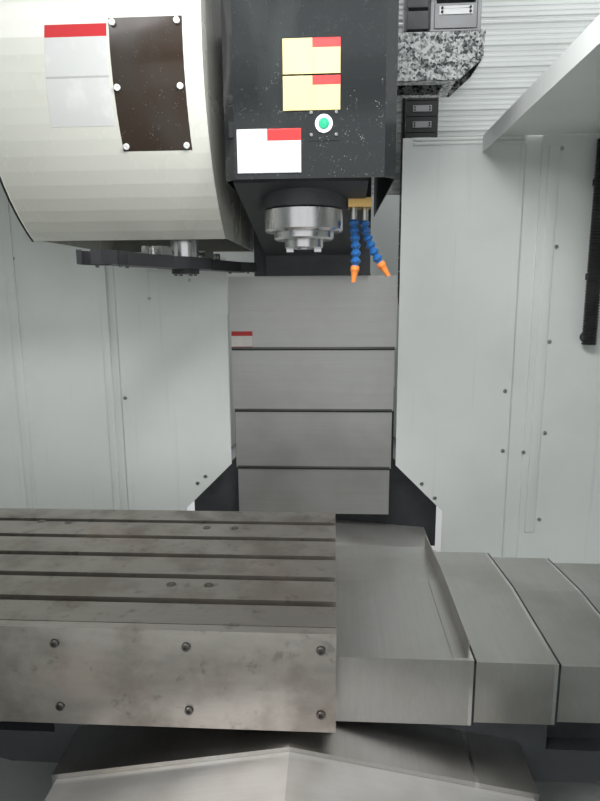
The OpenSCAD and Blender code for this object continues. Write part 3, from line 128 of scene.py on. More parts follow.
class Value:
    """A socket of a material's nodes, on which Python's arithmetic adds Math nodes"""

    def __init__(self, finish, socket):
        self.finish = finish
        self.socket = socket

    def maths(self, operation, first, second):
        return self.finish.node("ShaderNodeMath", {"operation": operation}, {0: first, 1: second})

    def __add__(self, other):
        return self.maths("ADD", self, other)

    __radd__ = __add__

    def __sub__(self, other):
        return self.maths("SUBTRACT", self, other)

    def __rsub__(self, other):
        return self.maths("SUBTRACT", other, self)

    def __mul__(self, other):
        return self.maths("MULTIPLY", self, other)

    __rmul__ = __mul__

    def __gt__(self, other):
        return self.maths("GREATER_THAN", self, other)

    def __lt__(self, other):
        return self.maths("LESS_THAN", self, other)

    def most(self, other):
        return self.maths("MAXIMUM", self, other)

    def least(self, other):
        return self.maths("MINIMUM", self, other)


class Finish:
    """A material with one Principled shader, whose place on the piece is known as x, y and z"""

    def __init__(self, name, colour, roughness, metallic=0.0, coat=0.0):
        self.material = bpy.data.materials.new(name)
        self.material.use_nodes = True
        self.tree = self.material.node_tree
        self.shader = self.tree.nodes["Principled BSDF"]
        self.put("Base Color", (*colour, 1.0))
        self.put("Roughness", roughness)
        self.put("Metallic", metallic)
        self.put("Coat Weight", coat)
        self.place = self.node("ShaderNodeTexCoord", output="Object")
        parts = self.node("ShaderNodeSeparateXYZ", inputs={0: self.place}).socket.node
        self.x, self.y, self.z = (Value(self, part) for part in parts.outputs)

    def node(self, kind, settings=None, inputs=None, output=0):
        """Adds a node, sets its settings, then the values or links of its sockets"""
        made = self.tree.nodes.new(kind)
        for name, value in (settings or {}).items():
            setattr(made, name, value)
        for name, value in (inputs or {}).items():
            if isinstance(value, Value):
                self.tree.links.new(value.socket, made.inputs[name])
            else:
                made.inputs[name].default_value = value
        return Value(self, made.outputs[output])

    def put(self, name, value):
        """Feeds one socket of the shader"""
        if isinstance(value, Value):
            self.tree.links.new(value.socket, self.shader.inputs[name])
        else:
            self.shader.inputs[name].default_value = value

    def stretched(self, x, y, z):
        """The place, scaled along each axis"""
        return self.node("ShaderNodeMapping", inputs={"Vector": self.place, "Scale": (x, y, z)})

    def noise(self, scale, detail=3.0, place=None, roughness=0.55):
        return self.node("ShaderNodeTexNoise", inputs={
            "Vector": place or self.place, "Scale": scale, "Detail": detail, "Roughness": roughness})

    def cells(self, scale, place=None, output="Distance"):
        return self.node("ShaderNodeTexVoronoi", inputs={
            "Vector": place or self.place, "Scale": scale}, output=output)

    def step(self, value, start, end):
        """0 below start, 1 above end and smooth between them"""
        return self.node("ShaderNodeMapRange", {"interpolation_type": "SMOOTHSTEP", "clamp": True}, {
            "Value": value, "From Min": start, "From Max": end})

    def tint(self, mask, first, second):
        """The first colour where the mask is 0, the second where it is 1"""
        sides = {0: mask, 6: first, 7: second}
        for slot in (6, 7):
            if not isinstance(sides[slot], Value) and len(sides[slot]) == 3:
                sides[slot] = (*sides[slot], 1.0)
        return self.node("ShaderNodeMix", {"data_type": "RGBA"}, sides, output=2)

    def bump(self, height, distance, strength=1.0):
        self.put("Normal", self.node("ShaderNodeBump", inputs={
            "Height": height, "Distance": distance, "Strength": strength}))

    def between(self, value, start, end):
        """1 where the value lies between start and end"""
        return (value > start) * (value < end)


# Finishes


def sheet_paint(name, colour, roughness=0.30):
    """Powder coat on sheet metal: orange peel, a little dust and dried coolant in upright runs"""
    f = Finish(name, colour, roughness, coat=0.15)
    clouds = f.step(f.noise(3.0, 5.0), 0.35, 0.75)
    runs = f.step(f.noise(1.0, 4.0, f.stretched(45, 45, 1.6)), 0.60, 0.78)
    dust = f.step(f.noise(260.0, 2.0), 0.66, 0.78)
    dulled = tuple(c * 0.86 for c in colour)
    marked = tuple(c * 0.62 for c in colour)
    tone = f.tint(clouds * 0.55, colour, dulled)
    tone = f.tint(runs * 0.22 + dust * 0.12, tone, marked)
    f.put("Base Color", tone)
    f.put("Roughness", clouds * 0.10 + runs * 0.18 + roughness)
    f.bump(f.noise(520.0, 2.0) + clouds * 0.3, 0.00012, 0.35)
    return f


def cast_paint(name, colour, roughness=0.5):
    """Thick paint on a casting: coarse skin with worn, dusty patches"""
    f = Finish(name, colour, roughness)
    skin = f.noise(180.0, 5.0)
    patches = f.step(f.noise(6.0, 6.0), 0.45, 0.72)
    dusty = tuple(min(1.0, c * 2.2 + 0.02) for c in colour)
    f.put("Base Color", f.tint(patches * 0.45 + skin * 0.15, colour, dusty))
    f.put("Roughness", patches * 0.15 + skin * 0.12 + (roughness - 0.08))
    f.bump(skin + f.noise(30.0, 3.0) * 0.6, 0.0006, 0.6)
    return f


def gloss_black(name, colour):
    """Glossy black paint with dried droplets and dust, and upright smear streaks that are partly a
    smeared film and partly a painted reflection
    """
    f = Finish(name, colour, 0.16, coat=0.08)
    # partly painted reflection: these upright streaks lighten the black towards a green-grey as well as
    # dulling its gloss
    smears_and_streak_sheen = f.step(f.noise(7.0, 6.0, f.stretched(1, 1, 0.35)), 0.48, 0.75)
    spots = 1 - f.step(f.cells(240.0), 0.10, 0.24)
    splashed = 1 - f.step(f.z, 1.70, 1.95)
    few = f.step(f.noise(60.0, 3.0), 0.52, 0.62) * (splashed * 0.8 + 0.2)
    dust = f.step(f.noise(520.0, 2.0), 0.70, 0.80) * (splashed * 0.7 + 0.3)
    film = f.tint(smears_and_streak_sheen * 0.30, colour, (0.045, 0.055, 0.052))
    f.put("Base Color", f.tint((spots * few * 0.55).most(dust * 0.2), film, (0.42, 0.45, 0.43)))
    f.put("Roughness", smears_and_streak_sheen * 0.16 + spots * few * 0.3 + 0.14)
    f.bump(f.noise(40.0, 3.0) * 0.3 + spots * few, 0.0002, 0.35)
    return f


def brushed_steel(name, colour, stretch, roughness=0.30, stain=0.35):
    """Brushed sheet or ground steel, with streaks along one axis, scratches and an oil film"""
    f = Finish(name, colour, roughness, metallic=1.0)
    streaks = f.noise(1.0, 6.0, f.stretched(*stretch), 0.7)
    coarse = f.noise(0.22, 4.0, f.stretched(*stretch), 0.6)
    crossed = f.stretched(stretch[1] * 0.4, stretch[0] * 0.8, stretch[2])
    scratches = f.step(f.noise(1.0, 3.0, crossed), 0.70, 0.76)
    film = f.step(f.noise(5.0, 6.0), 0.42, 0.70)
    bright = tuple(min(1.0, c * 1.22) for c in colour)
    oily = tuple(c * k for c, k in zip(colour, (0.66, 0.63, 0.58)))
    tone = f.tint(streaks * 0.7 + coarse * 0.3, tuple(c * 0.82 for c in colour), bright)
    tone = f.tint(film * stain, tone, oily)
    f.put("Base Color", f.tint(scratches * 0.5, tone, bright))
    f.put("Roughness", streaks * 0.16 - film * 0.06 + scratches * 0.12 + (roughness - 0.04))
    f.bump(streaks + coarse * 2 - scratches * 0.8, 0.00008, 0.4)
    return f


def worn_iron(name, colour):
    """Ground cast iron with stains, small dents and cutter marks"""
    f = Finish(name, colour, 0.36, metallic=0.85)
    marks = f.noise(1.0, 5.0, f.stretched(14, 520, 60), 0.65)
    stains = f.step(f.noise(9.0, 8.0), 0.42, 0.66)
    blots = f.step(f.noise(34.0, 5.0), 0.58, 0.70)
    dents = 1 - f.step(f.cells(90.0), 0.03, 0.11)
    rust = f.step(f.noise(4.0, 7.0), 0.55, 0.80)
    tone = f.tint(marks, tuple(c * 0.78 for c in colour), tuple(c * 1.16 for c in colour))
    tone = f.tint(stains * 0.5, tone, (0.20, 0.165, 0.135))
    tone = f.tint(rust * 0.45, tone, (0.33, 0.225, 0.15))
    tone = f.tint(blots * 0.35, tone, (0.10, 0.09, 0.085))
    f.put("Base Color", tone)
    f.put("Metallic", 0.85 - rust * 0.3)
    f.put("Roughness", stains * 0.14 + marks * 0.1 + rust * 0.14 + 0.27)
    f.bump(marks * 0.5 - dents * 0.5 + stains * 0.4, 0.0002, 0.5)
    return f


def spangled_zinc(name):
    """Hot dipped zinc with its crystal pattern"""
    f = Finish(name, (0.55, 0.57, 0.57), 0.35, metallic=1.0)
    fine = f.node("ShaderNodeSeparateColor", inputs={0: f.cells(210.0, output="Color")})
    large = f.node("ShaderNodeSeparateColor", inputs={0: f.cells(75.0, output="Color")})
    shade = fine * 0.65 + large * 0.35
    dark, bright = (0.07, 0.075, 0.075), (0.66, 0.68, 0.67)
    f.put("Base Color", f.tint(f.step(shade, 0.15, 0.85), dark, bright))
    f.put("Roughness", shade * 0.25 + 0.25)
    f.bump(shade, 0.0001, 0.4)
    return f


def moulded_plastic(name, colour, roughness=0.35, coat=0.1):
    """Moulded plastic with a fine grain and handling marks"""
    f = Finish(name, colour, roughness, coat=coat)
    grain = f.noise(700.0, 2.0)
    wear = f.step(f.noise(22.0, 5.0), 0.50, 0.74)
    pale = tuple(min(1.0, c * 1.35 + 0.02) for c in colour)
    f.put("Base Color", f.tint(wear * 0.35 + grain * 0.08, colour, pale))
    f.put("Roughness", wear * 0.18 + grain * 0.1 + (roughness - 0.05))
    f.bump(grain, 0.0001, 0.35)
    return f


def black_rubber(name):
    f = Finish(name, (0.018, 0.018, 0.019), 0.6)
    bloom = f.step(f.noise(14.0, 6.0), 0.42, 0.75)
    f.put("Base Color", f.tint(bloom * 0.5, (0.014, 0.014, 0.015), (0.055, 0.055, 0.055)))
    f.put("Roughness", bloom * 0.2 + 0.45)
    f.bump(f.noise(300.0, 3.0), 0.0002, 0.4)
    return f


def window_glass(name):
    f = Finish(name, (0.72, 0.80, 0.79), 0.04, coat=0.3)
    haze = f.step(f.noise(5.0, 6.0), 0.4, 0.8)
    f.put("Roughness", haze * 0.12 + 0.04)
    f.put("Alpha", haze * 0.10 + 0.26)
    return f


def lamp_lens(name):
    f = Finish(name, (0.86, 0.88, 0.84), 0.3)
    ribs = f.node("ShaderNodeTexWave", {"bands_direction": "Y"},
                  {"Vector": f.place, "Scale": 60.0}, output="Fac")
    f.put("Emission Color", (1.0, 0.98, 0.92, 1.0))
    f.put("Emission Strength", 0.35)
    f.put("Base Color", f.tint(ribs * 0.3, (0.86, 0.88, 0.84), (0.6, 0.63, 0.6)))
    f.bump(ribs, 0.0006, 0.5)
    return f


def two_tone(f, mask, colour, roughness, metallic):
    """Gives the masked part of a finish another plain colour, roughness and metal"""
    shader = f.shader.inputs
    given = {"Base Color": (*colour, 1.0), "Roughness": roughness, "Metallic": metallic}
    for name, value in given.items():
        linked = shader[name].links[0].from_socket if shader[name].links else None
        first = Value(f, linked) if linked else shader[name].default_value
        if name == "Base Color":
            first = first if linked else tuple(first)
            mixed = f.tint(mask, first, value)
        else:
            mixed = f.node("ShaderNodeMix", {"data_type": "FLOAT"}, {0: mask, 2: first, 3: value})
        f.put(name, mixed)
    return f


# Modelling by hand, in code


def clear():
    """Deselects everything, so that an operator acts only on what comes next"""
    bpy.ops.object.select_all(action="DESELECT")


def only(*pieces):
    """Selects these pieces alone"""
    clear()
    for piece in pieces:
        piece.select_set(True)
    bpy.context.view_layer.objects.active = pieces[0]


def seat(piece):
    """Moves a piece's place, turn and scale into its mesh"""
    only(piece)
    bpy.ops.object.transform_apply(location=True, rotation=True, scale=True)
    return piece


def apply_modifier(piece, kind, **settings):
    only(piece)
    modifier = piece.modifiers.new(kind.title(), kind)
    for name, value in settings.items():
        setattr(modifier, name, value)
    bpy.ops.object.modifier_apply(modifier=modifier.name)
    return piece


def rounded(piece, width, segments=2):
    return apply_modifier(piece, "BEVEL", width=width, segments=segments, limit_method="ANGLE")


def block(corner, far_corner, round_by=None):
    """A block between two corners, with its edges rounded"""
    start, end = Vector(corner), Vector(far_corner)
    clear()
    bpy.ops.mesh.primitive_cube_add(size=1, location=(start + end) / 2, scale=end - start)
    piece = seat(bpy.context.object)
    width = sizes().edge_round if round_by is None else round_by
    return rounded(piece, width) if width else piece


def cylinder(sides, radius, depth, place, turn=(0, 0, 0)):
    """A cylinder about its middle, along Z before its turn"""
    clear()
    bpy.ops.mesh.primitive_cylinder_add(
        vertices=sides, radius=radius, depth=depth, location=place, rotation=turn)
    return seat(bpy.context.object)


def bar(start, end, radius, sides):
    """A round bar between two points"""
    start, end = Vector(start), Vector(end)
    along = end - start
    turn = along.to_track_quat("Z", "Y").to_euler()
    return cylinder(sides, radius, along.length, (start + end) / 2, turn)


def open_faces(piece, test):
    """Opens a piece in edit mode with only the faces that pass the test selected"""
    only(piece)
    bpy.ops.object.mode_set(mode="EDIT")
    bpy.ops.mesh.select_mode(type="FACE")
    bpy.ops.mesh.select_all(action="DESELECT")
    bpy.ops.object.mode_set(mode="OBJECT")
    for face in piece.data.polygons:
        face.select = bool(test(face))
    bpy.ops.object.mode_set(mode="EDIT")


def close(piece):
    bpy.ops.object.mode_set(mode="OBJECT")
    return piece


def push(distance, along):
    """Draws the selected faces out along a direction"""
    bpy.ops.mesh.extrude_region_move(TRANSFORM_OT_translate={"value": Vector(along) * distance})


def dished(piece, facing, rim, rise, stepped=False):
    """Insets the side that faces a direction and moves its middle out, with a slope or a step"""
    facing = Vector(facing)
    open_faces(piece, lambda face: face.normal.dot(facing) > 0.99)
    bpy.ops.mesh.inset(thickness=rim)
    if stepped:
        push(rise, facing)
    else:
        bpy.ops.transform.translate(value=facing * rise)
    return close(piece)


def joined(*pieces):
    """Joins pieces into the first one"""
    only(*pieces)
    if len(pieces) > 1:
        bpy.ops.object.join()
    return bpy.context.object


def at(place, direction=Z, size=1.0):
    """The matrix that puts a master at a place, its top towards a direction"""
    turn = Vector(direction).to_track_quat("Z", "Y").to_matrix().to_4x4()
    return Matrix.Translation(Vector(place)) @ turn @ Matrix.Scale(size, 4)


def repeated(master, places):
    """Copies a master to each place, each copy with its own mesh, and joins the copies"""
    made = []
    for place in places:
        piece = master.copy()
        piece.data = master.data.copy()
        bpy.context.collection.objects.link(piece)
        piece.matrix_world = place
        made.append(piece)
    bpy.data.objects.remove(master)
    return seat(joined(*made))


def smooth(piece, angle=35):
    only(piece)
    bpy.ops.object.shade_smooth_by_angle(angle=math.radians(angle))
    return piece


def settle(piece, name, body, finish):
    """Names a finished piece, paints it and lets it ride on its body"""
    smooth(piece)
    piece.name = name
    piece.data.materials.clear()
    piece.data.materials.append(finish.material)
    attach(piece, body)
    return piece


def screw_head(sides, height, rim, rise, recess=0.0, depth=0.0):
    """A screw's head of radius 1, its seat at height 0, with a raised middle and a recess in it"""
    piece = cylinder(sides, 1, height, (0, 0, height / 2))
    dished(piece, Z, rim, rise)
    return dished(piece, Z, recess, -depth, stepped=True) if recess else piece


def button_screw():
    return screw_head(20, 0.7, 0.28, 0.12, 0.22, 0.4)


def pan_screw():
    return screw_head(16, 0.4, 0.25, 0.14, 0.5, 0.2)


def hexagon_bolt():
    return screw_head(6, 0.7, 0.14, 0.08)


# Finishes of the CAD nodes


class MACHINE_OT_finishes(Operator):
    """Gives every CAD node its finish"""
    bl_idname = "machine.finishes"
    bl_label = "Finishes of the castings, sheets and covers"

    def execute(self, context):
        paint, cast = colours().sheet, colours().casting
        sheet = sheet_paint("enclosure_paint", paint)
        drum = sheet_paint("drum_paint", colours().drum, 0.22)
        two_tone(drum, drum.x < low("magazine_cover").x + 0.0055, (0.012, 0.012, 0.012), 0.4, 0.0)
        casting = cast_paint("casting_paint", cast)
        carriage = cast_paint("saddle_paint", tuple(c * 1.3 for c in cast))
        ground = brushed_steel("ground_steel", (0.62, 0.62, 0.63), (300, 300, 20), 0.22, 0.15)
        x_cover = brushed_steel("x_cover_steel", (0.57, 0.56, 0.54), (420, 7, 60), 0.34, 0.5)
        ends = [high(f"x_cover_{k}").x for k in range(1, 7)]
        polished = sum((x_cover.between(x_cover.x, end - 0.006, end) for end in ends[1:]),
                       x_cover.between(x_cover.x, ends[0] - 0.006, ends[0]))
        two_tone(x_cover, polished.least(1.0), (0.72, 0.71, 0.69), 0.24, 1.0)
        y_cover = brushed_steel("y_cover_steel", (0.60, 0.59, 0.57), (7, 420, 60), 0.40, 0.5)
        z_cover = brushed_steel("z_cover_steel", (0.60, 0.60, 0.59), (4, 60, 260), 0.44, 0.30)
        y_cover.put("Metallic", 0.7)
        z_cover.put("Metallic", 0.8)
        table = worn_iron("table_iron", (0.44, 0.41, 0.37))
        apron = worn_iron("apron_iron", (0.57, 0.53, 0.49))
        zinc = spangled_zinc("galvanized_sheet")
        rubber = black_rubber("hose_rubber")
        tank = sheet_paint("tank_paint", (0.16, 0.18, 0.19), 0.4)
        pot = moulded_plastic("pot_plastic", (0.022, 0.022, 0.024), 0.4)
        arm = cast_paint("arm_paint", (0.018, 0.018, 0.02), 0.42)
        two_tone(arm, arm.z > low("arm_shaft").z + 0.002, (0.6, 0.6, 0.58), 0.3, 1.0)
        painted = {
            sheet: ["side_walls", "rear_walls", "chip_pan", "left_door", "right_door"],
            drum: ["magazine_cover"],
            casting: ["bed", "column", "head_casting"],
            carriage: ["saddle"],
            ground: ["guide_rails", "x_guide_rails", "spindle_shaft", "spindle_cartridge", "arm_shaft",
                     "levelling_feet", "chip_auger"],
            x_cover: [f"x_cover_{k}" for k in range(1, 7)] + ["saddle_covers"],
            y_cover: ["y_front_cover_2", "y_front_cover_3", "y_rear_cover_2", "y_rear_cover_3",
                      "y_cover_ends"],
            z_cover: [f"z_cover_{k}" for k in range(1, 5)],
            table: ["table"],
            apron: ["apron_plate"],
            zinc: ["chain_bracket"],
            rubber: ["coolant_hose"],
            pot: ["tipping_pot", "cable_chain", "override_knob"],
            tank: ["coolant_tank"],
            arm: ["tool_arm"],
            self.cover(): ["head_cover"],
            cast_paint("motor_paint", (0.02, 0.021, 0.024), 0.4): ["spindle_motor"],
            cast_paint("changer_paint", (0.03, 0.033, 0.036), 0.45): ["tool_changer_box"],
            moulded_plastic("green_plastic", (0.01, 0.28, 0.15), 0.25, 0.4): ["release_button"],
            moulded_plastic("red_plastic", (0.62, 0.02, 0.015), 0.25, 0.4): ["emergency_stop"],
            moulded_plastic("hose_plastic", colours().hose, 0.3, 0.3): ["left_nozzle", "right_nozzle"],
            window_glass("door_glass"): ["left_window", "right_window"],
            self.drives(): ["axis_drives", "x_axis_drive"],
            self.pipes(): ["coolant_pipes"],
            self.disc(): ["magazine_disc"],
            self.guard(paint): ["front_guard"],
            self.cabinet(paint): ["electrical_cabinet", "cabinet_door"],
            self.console(): ["control_box"],
            lamp_lens("lamp_lens"): ["lamps"],
        }
        left = set(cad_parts)
        for finish, nodes in painted.items():
            for node in nodes:
                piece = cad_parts[node]
                piece.data.materials.clear()
                piece.data.materials.append(finish.material)
                left.discard(node)
        if left:
            raise RuntimeError(f"nodes without a finish: {sorted(left)}")
        return {"FINISHED"}

    def cover(self):
        """Gloss black with painted highlights, in broken dashes, along the front panel's upright edges
        """
        f = gloss_black("head_cover_paint", colours().head)
        # painted highlight: pale metallic dashes on the front panel's upright edges stand in for light
        # caught on their chamfers
        edges = f.between(f.x, -0.1384, -0.1366).most(f.between(f.x, 0.1850, 0.1866))
        dashed_edge_highlight = f.step(f.noise(22.0, 6.0), 0.40, 0.50) * (f.y < low("head_cover").y + 0.002)
        return two_tone(f, edges * dashed_edge_highlight, (0.55, 0.55, 0.53), 0.4, 0.6)

    def drives(self):
        f = brushed_steel("screw_steel", (0.6, 0.6, 0.61), (260, 260, 260), 0.25, 0.2)
        y_motor = f.y < low("axis_drives").y + 0.104
        z_motor = f.z > high("column").z
        x_motor = f.x < -0.75
        return two_tone(f, y_motor.most(z_motor).most(x_motor), (0.02, 0.021, 0.024), 0.4, 0.0)

    def pipes(self):
        f = brushed_steel("pipe_zinc", (0.58, 0.58, 0.56), (90, 90, 30), 0.35, 0.2)
        block_part = f.between(f.z, 1.617, 1.639)
        return two_tone(f, block_part, (0.62, 0.42, 0.16), 0.32, 1.0)

    def disc(self):
        f = cast_paint("disc_paint", (0.16, 0.17, 0.18), 0.45)
        return two_tone(f, f.x > high("magazine_disc").x - 0.086, (0.022, 0.022, 0.024), 0.4, 0.0)

    def guard(self, paint):
        f = sheet_paint("guard_paint", paint)
        rails = f.between(f.y, -1.1535, -1.1465) * f.between(f.x, -1.2165, 1.2165)
        return two_tone(f, rails, (0.5, 0.5, 0.51), 0.3, 1.0)

    def cabinet(self, paint):
        f = sheet_paint("cabinet_paint", tuple(c * 0.95 for c in paint))
        inside = f.between(f.x, -0.446, 0.446) * f.between(f.z, 0.254, 1.946)
        plate = inside * f.between(f.y, 0.9085, 0.9252)
        units = inside * f.between(f.y, 0.9252, 1.2)
        two_tone(f, plate, (0.55, 0.5, 0.3), 0.35, 1.0)
        return two_tone(f, units, (0.05, 0.055, 0.06), 0.45, 0.0)

    def console(self):
        f = sheet_paint("console_paint", (0.34, 0.36, 0.37), 0.4)
        front = low("control_box").y
        screen = f.between(f.y, front + 0.001, front + 0.0065) * f.between(f.x, 0.843, 1.117)
        screen = screen * f.between(f.z, 1.3335, 1.6065)
        keys = f.y < front + 0.0009
        two_tone(f, screen, (0.008, 0.01, 0.014), 0.08, 0.0)
        return two_tone(f, keys, (0.09, 0.095, 0.1), 0.5, 0.0)


# Small pieces on the enclosure, the drum and the head


def plate_on(corner, far_corner, facing):
    """A thin plate whose outer face is sunk inside its rim"""
    rim, sunk = 0.003, 0.00036
    return dished(block(corner, far_corner, 0.0008), facing, rim, -sunk)


class MACHINE_OT_wall_screws(Operator):
    """Puts the pan-head screws on the enclosure's inner walls"""
    bl_idname = "machine.wall_screws"
    bl_label = "Wall screws"

    RIGHT = ((0.756, 1.851), (0.760, 1.562), (0.759, 1.267), (0.628, 1.107), (0.765, 0.967),
             (0.766, 0.666), (0.631, 0.905), (0.699, 0.901), (0.368, 0.788), (0.414, 0.738))
    LEFT = ((-0.983, 1.544), (-0.988, 1.237), (-0.995, 0.929), (-0.534, 1.412), (-0.399, 1.469),
            (-0.636, 1.080), (-0.371, 0.806), (-0.399, 0.781))

    def execute(self, context):
        wall = low("rear_walls").y
        places = [at((x, wall, z), -Y, sizes().screw_radius) for x, z in self.RIGHT + self.LEFT]
        steel = brushed_steel("screw_zinc", (0.46, 0.46, 0.45), EVEN_GRAIN, 0.3, 0.2)
        settle(repeated(pan_screw(), places), "wall_screws", "frame", steel)
        return {"FINISHED"}


class MACHINE_OT_wall_sheets(Operator):
    """Adds the lapped sheet on the rear wall and the folded seams of the wall sheets"""
    bl_idname = "machine.wall_sheets"
    bl_label = "Wall sheets and seams"

    def execute(self, context):
        paint = sheet_paint("lap_paint", colours().sheet)
        wall, foot, head = low("rear_walls").y, 0.62, 1.86
        back = wall - 0.0002
        lap = self.folded((-0.540, wall - 0.0028, 1.358), (-0.276, back, 1.500), 0.004)
        seams = [self.folded((x - 0.016, wall - 0.0042, foot), (x + 0.016, back, head), 0.002)
                 for x in (-0.997, 0.735)]
        ridge = self.folded((-0.700, wall - 0.0062, foot), (-0.676, back, head), 0.0015)
        settle(joined(lap, *seams, ridge), "wall_seams", "frame", paint)
        top = [self.folded((0.312, wall - 0.0032, z), (0.645, back, z + 0.009), 0.0015)
               for z in (1.868, 1.880)]
        settle(joined(*top), "wall_top_folds", "frame", paint)
        return {"FINISHED"}

    def folded(self, corner, far_corner, margin):
        """A sheet strip whose edges are folded down to the wall"""
        return rounded(dished(block(corner, far_corner, 0.0), -Y, margin, 0.0006), 0.0007)


class MACHINE_OT_drum_plate(Operator):
    """Bends the gloss plate and the bare label place round the drum cover and screws the plate on"""
    bl_idname = "machine.drum_plate"
    bl_label = "Drum plate and label place"

    def execute(self, context):
        trim, thick, ends = 0.002, 0.0022, (-0.378, -0.230)
        self.radius = high("magazine_cover").y - trim
        self.centre = Vector((0, 0, high("magazine_cover").z - trim - self.radius))
        gloss = gloss_black("drum_gloss", (0.030, 0.020, 0.014))
        plate = self.curved(ends, ends, -27.0, 4.5, thick)
        settle(plate, "drum_plate", "frame", gloss)
        label = self.curved((-0.522, -0.387), (-0.508, -0.382), -20.6, 3.3, 0.0008)
        card = moulded_plastic("drum_label", (0.50, 0.51, 0.50), 0.62, 0.0)
        rise = angle_round(card, self.centre)
        two_tone(card, rise > 0.3, (0.45, 0.02, 0.025), 0.62, 0.0)
        two_tone(card, card.between(rise, -9.2, -8.7), (0.36, 0.37, 0.36), 0.4, 0.0)
        settle(label, "drum_label_place", "frame", card)
        places = []
        for angle in (3.2, -11.6, -25.6):
            for x in (-0.369, -0.240):
                out = self.out(angle)
                places.append(at(self.centre + X * x + out * (self.radius + thick), out, 0.0062))
        white = moulded_plastic("screw_caps", (0.70, 0.71, 0.69), 0.4)
        settle(repeated(button_screw(), places), "drum_plate_screws", "frame", white)
        return {"FINISHED"}

    def out(self, angle):
        turn = math.radians(angle)
        return Vector((0, -math.cos(turn), math.sin(turn)))

    def curved(self, low_ends, high_ends, start, end, thick):
        """A sheet bent on the drum, its two ends given at its lower and its upper edge"""
        steps = 28
        clear()
        bpy.ops.mesh.primitive_grid_add(x_subdivisions=2, y_subdivisions=steps, size=2)
        piece = seat(bpy.context.object)
        for vertex in piece.data.vertices:
            share = (vertex.co.y + 1) / 2
            across = (vertex.co.x + 1) / 2
            left = low_ends[0] + (high_ends[0] - low_ends[0]) * share
            right = low_ends[1] + (high_ends[1] - low_ends[1]) * share
            place = self.centre + self.out(start + (end - start) * share) * (self.radius + 0.0003)
            vertex.co = (left + (right - left) * across, place.y, place.z)
        apply_modifier(piece, "SOLIDIFY", thickness=thick, offset=-1.0)
        self.outward(piece)
        return rounded(piece, 0.0005, 1)

    def outward(self, piece):
        only(piece)
        bpy.ops.object.mode_set(mode="EDIT")
        bpy.ops.mesh.select_all(action="SELECT")
        bpy.ops.mesh.normals_make_consistent(inside=False)
        bpy.ops.object.mode_set(mode="OBJECT")


def angle_round(f, centre):
    """The angle in degrees round an axis along X, 0 to the front and growing upwards"""
    turn = f.z.maths("ARCTAN2", f.z - centre.z, centre.y - f.y)
    return turn * (180 / math.pi)


class MACHINE_OT_head_labels(Operator):
    """Sets the bare label places, the release button's bezel and the screws of its plate on the head
    cover
    """
    bl_idname = "machine.head_labels"
    bl_label = "Label places on the head cover"

    def execute(self, context):
        front = low("head_cover").y
        self.cards("upper_label_places", front, (0.47, 0.41, 0.19), 0.027, (
            (-0.031, 0.081, 1.847, 1.911), (-0.031, 0.081, 1.781, 1.844)))
        self.cards("lower_label_place", front, (0.47, 0.48, 0.49), -0.063, (
            (-0.124, 0.004, 1.666, 1.749),))
        button = middle("release_button")
        self.ring(button, front)
        zinc = brushed_steel("head_screw_zinc", (0.66, 0.66, 0.64), EVEN_GRAIN, 0.28, 0.1)
        corners = [at((button.x + sx * 0.0245, front - 0.0015, button.z + sz * 0.0205), -Y, 0.0030)
                   for sx in (-1, 1) for sz in (-1, 1)]
        settle(repeated(button_screw(), corners), "button_plate_screws", "head", zinc)
        return {"FINISHED"}

    def cards(self, name, front, colour, middle, places):
        """Bare cards with a fine line down the middle and a red header to its right"""
        f = moulded_plastic(name, colour, 0.35, 0.2)
        header = 0
        for x0, x1, z0, z1 in places:
            header = f.between(f.z, z1 - (z1 - z0) * 0.27, z1) + header
        two_tone(f, header * (f.x > middle), (0.50, 0.03, 0.03), 0.35, 0.0)
        two_tone(f, f.between(f.x, middle - 0.0007, middle), tuple(c * 0.5 for c in colour), 0.4, 0.0)
        cards = [plate_on((x0, front - 0.0014, z0), (x1, front - 0.0001, z1), -Y)
                 for x0, x1, z0, z1 in places]
        settle(joined(*cards), name, "head", f)

    def ring(self, button, front):
        """The white bezel round the release button"""
        ring = cylinder(48, 0.0172, 0.0022, (button.x, front - 0.0026, button.z), (math.pi / 2, 0, 0))
        for facing in (-Y, Y):
            dished(ring, facing, 0.0050, -0.0006)
        rounded(ring, 0.0004, 2)
        settle(ring, "button_bezel", "head",
               moulded_plastic("bezel_plastic", (0.72, 0.72, 0.70), 0.35, 0.2))


# Small pieces on the table, the way covers and the spindle


def turned(profile, sides=24):
    """A turned piece along Z, drawn out through (radius, height) pairs"""
    radius, height = profile[0]
    clear()
    bpy.ops.mesh.primitive_circle_add(
        vertices=sides, radius=radius, fill_type="NGON", location=(0, 0, height))
    piece = seat(bpy.context.object)
    open_faces(piece, lambda face: True)
    for wide, top in profile[1:]:
        push(top - height, Z)
        bpy.ops.transform.resize(value=(wide / radius, wide / radius, 1), center_override=(0, 0, top))
        radius, height = wide, top
    bpy.ops.mesh.select_all(action="SELECT")
    bpy.ops.mesh.normals_make_consistent(inside=False)
    return close(piece)


def cap_screw(sides=24):
    """A cap screw's head of radius 1 with its socket, its seat at height 0"""
    return dished(turned([(1, 0), (1, 1.05), (0.9, 1.15)], sides), Z, 0.38, -0.6, stepped=True)


def slab(x0, x1, start, end, thick):
    """A strip across X drawn between two (y, z) points, lying below them"""
    along = Vector((0, end[0] - start[0], end[1] - start[1]))
    piece = block((x0, 0, -thick), (x1, along.length, 0), min(0.0004, thick * 0.3))
    turn = math.atan2(along.z, along.y)
    piece.matrix_world = Matrix.Translation((0, *start)) @ Matrix.Rotation(turn, 4, "X")
    return seat(piece)


def cut(piece, tool):
    """Takes a tool's form out of a piece"""
    apply_modifier(piece, "BOOLEAN", object=tool, operation="DIFFERENCE")
    bpy.data.objects.remove(tool)
    return piece


